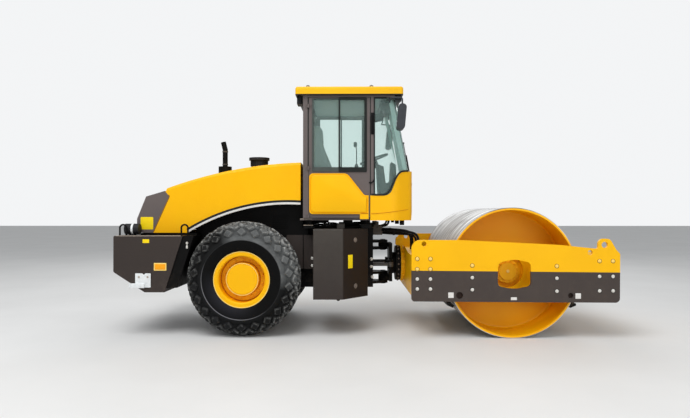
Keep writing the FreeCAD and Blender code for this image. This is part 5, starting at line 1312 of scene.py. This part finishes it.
# Lowest corner, highest corner and radius of the straight seals, with Y from the cab's face
STRAIGHT_SEALS = (
    ((0.137, -0.003, 1.768), (0.155, 0.020, 3.010), 0.002),
    ((0.089, -0.001, 1.760), (0.101, 0.004, 3.010), 0.001),
    ((-0.706, -0.0015, 2.112), (-0.692, 0.006, 3.008), 0.001),
    ((0.137, -0.001, 2.996), (0.300, 0.030, 3.014), 0.002),
)
# Lowest corner, highest corner and radius of thin ledges, pale as painted highlights on the edges of the floor and of a
# beam
CAB_LEDGES = (
    ((-0.806, -0.752, 1.452), (-0.650, -0.748, 1.462), 0.001),
    ((-0.765, -0.723, 1.372), (-0.640, -0.718, 1.380), 0.001),
)
# Paths of the grab bar and of the door's latch, with Y from the cab's face
GRAB_PATH = ((0.125, -0.004, 2.560), (0.125, -0.030, 2.580), (0.125, -0.032, 2.770), (0.125, -0.004, 2.790))
LATCH_PATH = ((0.078, -0.010, 1.922), (0.104, -0.014, 1.918), (0.128, -0.014, 1.934), (0.146, -0.010, 1.962))
# Wiper: its Y, height of its pivot, and (height, distance from the glass) along its arm after the pivot
WIPER_Y = -0.300
PIVOT_Z = 1.890
ARM = (
    (PIVOT_Z, 0.006), (1.920, 0.012), (1.980, 0.012), (2.040, 0.012), (2.100, 0.016), (2.180, 0.016), (2.260, 0.016),
    (2.320, 0.016),
)
# Place of the mirror under the roof inside, X and Y of the lever beside the seat
INNER_MIRROR = (0.248, -0.020, 2.886)
LEVER = (-0.077, -0.380)


def frame_strip(low, high, left, right, down, up, y_low, y_high, radius=0.014, edge=0.002):
    """Closed frame round a rectangle in X and Z: its bar is left, right, down and up wide on the four sides."""
    def ring(share, shrink=0.0):
        x0, z0 = low[0] - left * share + shrink, low[1] - down * share + shrink
        x1, z1 = high[0] + right * share - shrink, high[1] + up * share - shrink
        return rounded([(x0, z0, radius), (x1, z0, radius), (x1, z1, radius), (x0, z1, radius)], 6)

    stack = [
        (ring(0.0), y_high), (ring(0.0), y_low + edge), (ring(0.0, -edge), y_low), (ring(1.0, edge), y_low),
        (ring(1.0), y_low + edge), (ring(1.0), y_high),
    ]
    x = np.array([loop[:, 0] for loop, _ in stack])
    z = np.array([loop[:, 1] for loop, _ in stack])
    y = np.array([depth for _, depth in stack])[:, None]
    return tile(x, y, z, wrap_rows=True, wrap_columns=True)


# Corners of the raised middle of a door's skin: X, Z and corner radius
DOOR_PANEL = (
    (-0.667, 2.021, 0.050), (-0.667, 1.536, 0.050), (0.056, 1.536, 0.012), (0.056, 1.744, 0.010), (0.012, 1.746, 0.030),
    (-0.207, 2.021, 0.070),
)

class ROLLER_OT_doors(bpy.types.Operator):
    """Raised panels, window rubbers, frames of the sliding panes, creases and inner pulls of the doors"""

    bl_idname = "roller.doors"
    bl_label = "Doors"

    def execute(self, context):
        y_low, y_high = WINDOW_Y
        # piece, shape on the right side, finish, and what differs from a plain piece
        rows = (
            ("door_panel", slab(rounded(DOOR_PANEL), CAB_FACE - 0.034, CAB_FACE - 0.015, 0.016), "yellow",
             {"slot": "yellow_paint", "crease": 65.0}),
            ("rear_pane", frame_strip(*REAR_PANE, 0.020, 0.008, 0.058, 0.014, y_low + 0.004, y_high, 0.012), "trim", {}),
            ("front_pane", frame_strip(*FRONT_PANE, 0.021, 0.032, 0.062, 0.028, y_low, y_high, 0.012), "seal", {}),
            # Painted shadow along the door's crease
            ("door_crease", side_band(skin_of("door_skin_right"), DOOR_CREASE, 0.008, 0.002, 12), "crease", {}),
            ("door_pull", tube(PULL_PATH, 0.008, 30), "plastic", {}),
        )
        for name, side in SIDES:
            for label, shape, finish, rest in rows:
                piece(label + "_" + name, sided(shape, side), finish, name + "_door", **rest)
        return {"FINISHED"}


class ROLLER_OT_cab(bpy.types.Operator):
    """Seals, creases, grab bars, latches, wiper and ledges of the cab, and what stands in it"""

    bl_idname = "roller.cab"
    bl_label = "Cab"

    def execute(self, context):
        to_face = (0, CAB_FACE, 0)
        nose = skin_of("cab_nose")
        points, faces = boxes(STRAIGHT_SEALS, 2)
        seals = gathered(side_band(nose, SEAL_PATH, 0.022, 0.005, 90), (points + to_face, faces))
        piece("cab_seals", both(seals), "seal", "rear_frame")
        lining = soft_box((-0.680, -0.735, 3.026), (0.400, 0.735, 3.0345), 0.002, 2)
        piece("roof_lining", lining, "lining", "rear_frame")
        # Painted shadow along the crease below the nose
        crease = side_band(nose, NOSE_CREASE, 0.010, 0.002, 60)
        piece("nose_creases", both(crease), "crease", "rear_frame")
        post = soft_box((0.103, CAB_FACE - 0.008, 2.535), (0.146, CAB_FACE + 0.004, 2.815), 0.006)
        grab = tube(np.add(GRAB_PATH, to_face), 0.009, 40)
        latch = tube(np.add(LATCH_PATH, to_face), 0.0085, 20, 10)
        piece("grab_bars", both(gathered(post, grab, latch)), "hose", "rear_frame")
        # Pale ledges: painted highlights on the edges of the floor and of a beam
        piece("cab_ledges", both(boxes(CAB_LEDGES, 2)), "edge", "rear_frame")
        screen = skin_of("cab_glass", "cab_nose")
        blade = [on_front(screen, WIPER_Y, z, 0.007) for z in np.linspace(2.110, 2.490, 24)]
        arm = [on_front(screen, WIPER_Y, z, off) for z, off in ARM]
        points, faces = facing(lathe(stub(0.018, 0.010, 0.004, -0.008, -0.012), segments=20), "+x")
        pivot = (points + on_front(screen, WIPER_Y, PIVOT_Z), faces)
        tip = np.array(on_front(screen, WIPER_Y, 2.486, 0.010))
        knob = soft_box(tip - 0.010, tip + 0.010, 0.005)
        wiper = gathered(swept(blade, rectangle(-0.004, 0.004, -0.004, 0.004)), tube(arm, 0.007, 40, 8), pivot, knob)
        piece("wiper", wiper, "hose", "rear_frame")
        header = soft_box((0.240, -0.560, 2.984), (0.392, 0.560, 3.034), 0.010)
        points, faces = turned(soft_box((-0.012, -0.095, -0.062), (0.012, 0.095, 0.062), 0.010), math.radians(32))
        stalk = tube([(0.252, -0.02, 2.90), (0.275, -0.01, 2.96), (0.300, 0.0, 3.00)], 0.008, 16)
        piece("cab_header", gathered(header, (points + INNER_MIRROR, faces), stalk), "plastic", "rear_frame")
        x, y = LEVER
        tray = soft_box((-0.260, -0.430, 1.469), (0.010, -0.330, 2.140), 0.020)
        boot = lathe([(0.030, 2.138), (0.028, 2.160), (0.014, 2.196), (0, 2.198)], (x, y, 0), "z", 24)
        lever = tube([(x, y, 2.180), (x, y, 2.380), (x - 0.013, y, 2.440)], 0.007, 24)
        grip = soft_box((-0.116, -0.402, 2.420), (-0.070, -0.358, 2.492), 0.018)
        piece("side_console", gathered(tray, boot, lever, grip), "plastic", "rear_frame")
        mat = soft_box((-0.620, -0.640, 1.469), (0.560, 0.640, 1.476), 0.002, 2)
        piece("floor_mat", mat, "hose", "rear_frame")
        return {"FINISHED"}


# X, Y, Z of a mirror's middle, half width, half height; its back leans forward with height
MIRROR = ((0.463, -1.080, 2.707), 0.070, 0.135)
MIRROR_LEAN = 0.028 / 0.312
MIRROR_THICK = 0.004
# Lenses of a front and a rear work lamp
LENSES = (
    ((0.494, -0.752, 2.984), (0.4975, -0.648, 3.028), 0.0012),
    ((-0.8525, -0.700, 2.952), (-0.849, -0.540, 3.026), 0.0012),
)


class ROLLER_OT_lamps(bpy.types.Operator):
    """Lenses of the work lamps and silvered glass of the mirrors"""

    bl_idname = "roller.lamps"
    bl_label = "Lamps and mirrors"

    def execute(self, context):
        piece("lamp_lenses", both(boxes(LENSES, 3)), "lamp", "rear_frame")
        (x, y, z), half_width, half_height = MIRROR
        across = np.linspace(-1, 1, 9)[None, :]
        up = np.linspace(-1, 1, 15)[:, None]
        middle = meeting(skin_of("mirrors"), (x - 1.0, y, z), (1.0, 0.0, 0.0)).x
        rim = (1 - np.abs(across) ** 6) * (1 - np.abs(up) ** 6)
        depth = middle - 0.0015 * np.minimum(rim * 4, 1) + MIRROR_LEAN * up * half_height
        layers = [tile(depth + back, y + half_width * across, z + half_height * up) for back in (0.0, MIRROR_THICK)]
        piece("mirror_glass", both(gathered(*layers)), "mirror", "rear_frame")
        return {"FINISHED"}


# Seat

# X and Z round the side of the seat's back, a little inside its solid
SEAT_BACK_OUTLINE = (
    (-0.672, 1.972, 0.02), (-0.412, 1.972, 0.03), (-0.428, 2.180, 0.30), (-0.552, 2.480, 0.30), (-0.566, 2.742, 0.04),
    (-0.672, 2.742, 0.03),
)
# Seams of the seat's cushion and back: places along Y, X and Z
CUSHION_SEAMS_Y = (-0.155, 0.155)
CUSHION_SEAMS_X = (-0.42, -0.30, -0.18)
BACK_SEAMS_Y = (-0.150, 0.150)
BACK_SEAMS_Z = (2.10, 2.24, 2.38, 2.52)
# Cloth of the pads: quality, pressure from inside and last frame
CLOTH_QUALITY = 5
CLOTH_PRESSURE = 4.0
CLOTH_FRAMES = 20
def stuffed(shape, growth, voxel=0.008):
    """Mesh of a shape swollen as a pad: remeshed to even squares, pressed out from inside as cloth, and held to a
    furthest growth."""
    points, faces = shape
    mesh = bpy.data.meshes.new("pad_shape")
    mesh.from_pydata(np.array(points).tolist(), [], faces)
    holder = bpy.data.objects.new("pad_shape", mesh)
    scene = bpy.context.scene
    scene.collection.objects.link(holder)
    remesh = holder.modifiers.new("remesh", "REMESH")
    remesh.mode = "VOXEL"
    remesh.voxel_size = voxel
    graph = bpy.context.evaluated_depsgraph_get()
    even = bpy.data.meshes.new_from_object(holder.evaluated_get(graph), depsgraph=graph)
    holder.modifiers.clear()
    holder.data = even
    start = np.array([vertex.co for vertex in even.vertices])
    ended = start
    cloth = holder.modifiers.new("cloth", "CLOTH")
    cloth.settings.quality = CLOTH_QUALITY
    cloth.settings.use_pressure = True
    cloth.settings.uniform_pressure_force = CLOTH_PRESSURE
    cloth.settings.effector_weights.gravity = 0.0
    cloth.point_cache.frame_start = 1
    cloth.point_cache.frame_end = CLOTH_FRAMES
    for number in range(1, CLOTH_FRAMES + 1):
        scene.frame_set(number)
    graph = bpy.context.evaluated_depsgraph_get()
    ended = np.array([vertex.co for vertex in holder.evaluated_get(graph).data.vertices])
    scene.frame_set(1)
    holder.modifiers.clear()
    moved = ended - start
    length = np.linalg.norm(moved, axis=1, keepdims=True)
    ended = start + moved * np.minimum(1.0, growth / np.maximum(length, 1e-9))
    polygons = [list(face.vertices) for face in even.polygons]
    bpy.data.objects.remove(holder)
    return ended, polygons


def sewn(shape, seams, depth=0.010, width=0.010):
    """Points drawn towards the pad's inside along seams: by depth times a bell of the distance from each seam. A
    row is an axis, the places of its seams on it, and the way in which the points move."""
    points, faces = shape
    points = np.array(points, float)
    for axis, places, way in seams:
        for place in places:
            bell = np.exp(-(((points[:, axis] - place) / width) ** 2))
            points += depth * bell[:, None] * np.array(way, float)
    return points, faces


class ROLLER_OT_seat(bpy.types.Operator):
    """Padded seat cushion and back, swollen as cloth and drawn in along their seams"""

    bl_idname = "roller.seat"
    bl_label = "Seat"

    def execute(self, context):
        growth = context.scene.roller_sizes.pad_growth
        low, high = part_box("seat_cushions")
        cushion = soft_box(
            (low.x + 0.128, low.y + 0.010, low.z + 0.004), (high.x - 0.010, high.y - 0.010, low.z + 0.110), 0.04, 6
        )
        down = (0, 0, -1)
        cushion = sewn(stuffed(cushion, growth), [(1, CUSHION_SEAMS_Y, down), (0, CUSHION_SEAMS_X, down)])
        back = stuffed(slab(rounded(SEAT_BACK_OUTLINE, 6), low.y + 0.018, high.y - 0.018, 0.04), growth * 0.7)
        rearward = (-0.9, 0, -0.1)
        back = sewn(back, [(1, BACK_SEAMS_Y, rearward), (2, BACK_SEAMS_Z, rearward)], 0.008)
        for name, shape in (("seat_cushion", cushion), ("seat_back", back)):
            pad = piece(name, shape, "cloth", "rear_frame", "seat_fabric", 80)
            smooth = pad.modifiers.new("smooth", "SUBSURF")
            smooth.levels = 1
            smooth.render_levels = 1
            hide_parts("seat_cushions")
        return {"FINISHED"}


# Stage

FLOOR_REACH = 60.0
# Name, place, aim, size and power of the lights
LIGHTS = (
    ("key_light", (-3.5, -6.5, 11.0), (0, 0, 1), 8.0, 950),
    ("fill_light", (5.0, -9.0, 4.5), (1, 0, 1), 7.0, 210),
    ("back_light", (0.0, 9.0, 8.0), (0, 0, 1), 8.0, 400),
)
# Colour and strength of the world as a light, and as the camera sees it
WORLD_LIGHT = ((0.88, 0.90, 0.92, 1), 0.50)
WORLD_SEEN = ((0.90, 0.91, 0.92, 1), 1.0)
PICTURE_WIDTH = 690
SENSOR_WIDTH = 36.0


class ROLLER_OT_stage(bpy.types.Operator):
    """Pale floor, soft lights and the camera"""

    bl_idname = "roller.stage"
    bl_label = "Stage"

    def execute(self, context):
        stage, scene = context.scene.roller_stage, context.scene
        mesh = bpy.data.meshes.new("floor")
        corners = rectangle(-FLOOR_REACH, FLOOR_REACH, -FLOOR_REACH, FLOOR_REACH)
        mesh.from_pydata([(x, y, 0) for x, y in corners], [], [(0, 1, 2, 3)])
        floor = bpy.data.objects.new("floor", mesh)
        scene.collection.objects.link(floor)
        surface = Finish("floor_finish", 0.6)
        surface.colour(surface.mix(surface.cloud(0.6, 4.0, 0.3, 0.7), (232, 232, 231), (226, 226, 225)))
        mesh.materials.append(surface.material)
        world = bpy.data.worlds.new("studio")
        world.use_nodes = True
        nodes, links = world.node_tree.nodes, world.node_tree.links
        light, pale = nodes["Background"], nodes.new("ShaderNodeBackground")
        for node, (colour, strength) in ((light, WORLD_LIGHT), (pale, WORLD_SEEN)):
            node.inputs["Color"].default_value = colour
            node.inputs["Strength"].default_value = strength
        rays = nodes.new("ShaderNodeLightPath")
        total = nodes.new("ShaderNodeMath")
        total.operation = "MAXIMUM"
        choice = nodes.new("ShaderNodeMixShader")
        for source, target in (
            (rays.outputs["Is Camera Ray"], total.inputs[0]),
            (rays.outputs["Is Transmission Ray"], total.inputs[1]),
            (total.outputs["Value"], choice.inputs["Fac"]),
            (light.outputs["Background"], choice.inputs[1]),
            (pale.outputs["Background"], choice.inputs[2]),
            (choice.outputs["Shader"], nodes["World Output"].inputs["Surface"]),
        ):
            links.new(source, target)
        scene.world = world
        for name, place, aim, size, power in LIGHTS:
            lamp = bpy.data.lights.new(name, "AREA")
            lamp.size = size
            lamp.energy = power
            holder = bpy.data.objects.new(name, lamp)
            scene.collection.objects.link(holder)
            holder.location = place
            x, y, z = np.subtract(aim, place)
            holder.rotation_euler = (math.atan2(math.hypot(x, y), -z), 0, math.atan2(-x, y))
        data = bpy.data.cameras.new("camera")
        data.sensor_width = SENSOR_WIDTH
        data.lens = stage.focal_pixels / PICTURE_WIDTH * SENSOR_WIDTH
        data.clip_end = 200
        camera = bpy.data.objects.new("camera", data)
        scene.collection.objects.link(camera)
        camera.location = stage.camera_place
        camera.rotation_euler = (math.pi / 2 + stage.camera_rise, 0, stage.camera_yaw)
        scene.camera = camera
        scene.view_settings.view_transform = "Standard"
        return {"FINISHED"}


class ROLLER_PT_panel(bpy.types.Panel):
    """Lists the steps of the dressing and its sizes"""

    bl_idname = "ROLLER_PT_panel"
    bl_label = "Road roller"
    bl_space_type = "VIEW_3D"
    bl_region_type = "UI"
    bl_category = "Roller"

    def draw(self, context):
        for step in STEPS:
            self.layout.operator(step.bl_idname)
        for group in (context.scene.roller_paint, context.scene.roller_sizes, context.scene.roller_stage):
            for name in group.bl_rna.properties.keys():
                if name not in ("rna_type", "name"):
                    self.layout.prop(group, name)


GROUPS = {"roller_paint": RollerPaint, "roller_sizes": RollerSizes, "roller_stage": RollerStage}
STEPS = (
    ROLLER_OT_finishes,
    ROLLER_OT_side_plates,
    ROLLER_OT_wheels,
    ROLLER_OT_hood,
    ROLLER_OT_counterweight,
    ROLLER_OT_rear_frame,
    ROLLER_OT_doors,
    ROLLER_OT_cab,
    ROLLER_OT_lamps,
    ROLLER_OT_seat,
    ROLLER_OT_stage,
)


def register():
    for kind in (*GROUPS.values(), *STEPS, ROLLER_PT_panel):
        bpy.utils.register_class(kind)
    for name, kind in GROUPS.items():
        setattr(bpy.types.Scene, name, bpy.props.PointerProperty(type=kind))


def unregister():
    for name in GROUPS:
        delattr(bpy.types.Scene, name)
    for kind in (ROLLER_PT_panel, *STEPS, *GROUPS.values()):
        bpy.utils.unregister_class(kind)


def main():
    register()
    for step in STEPS:
        group, name = step.bl_idname.split(".")
        getattr(getattr(bpy.ops, group), name)()


if __name__ == "__main__":
    main()
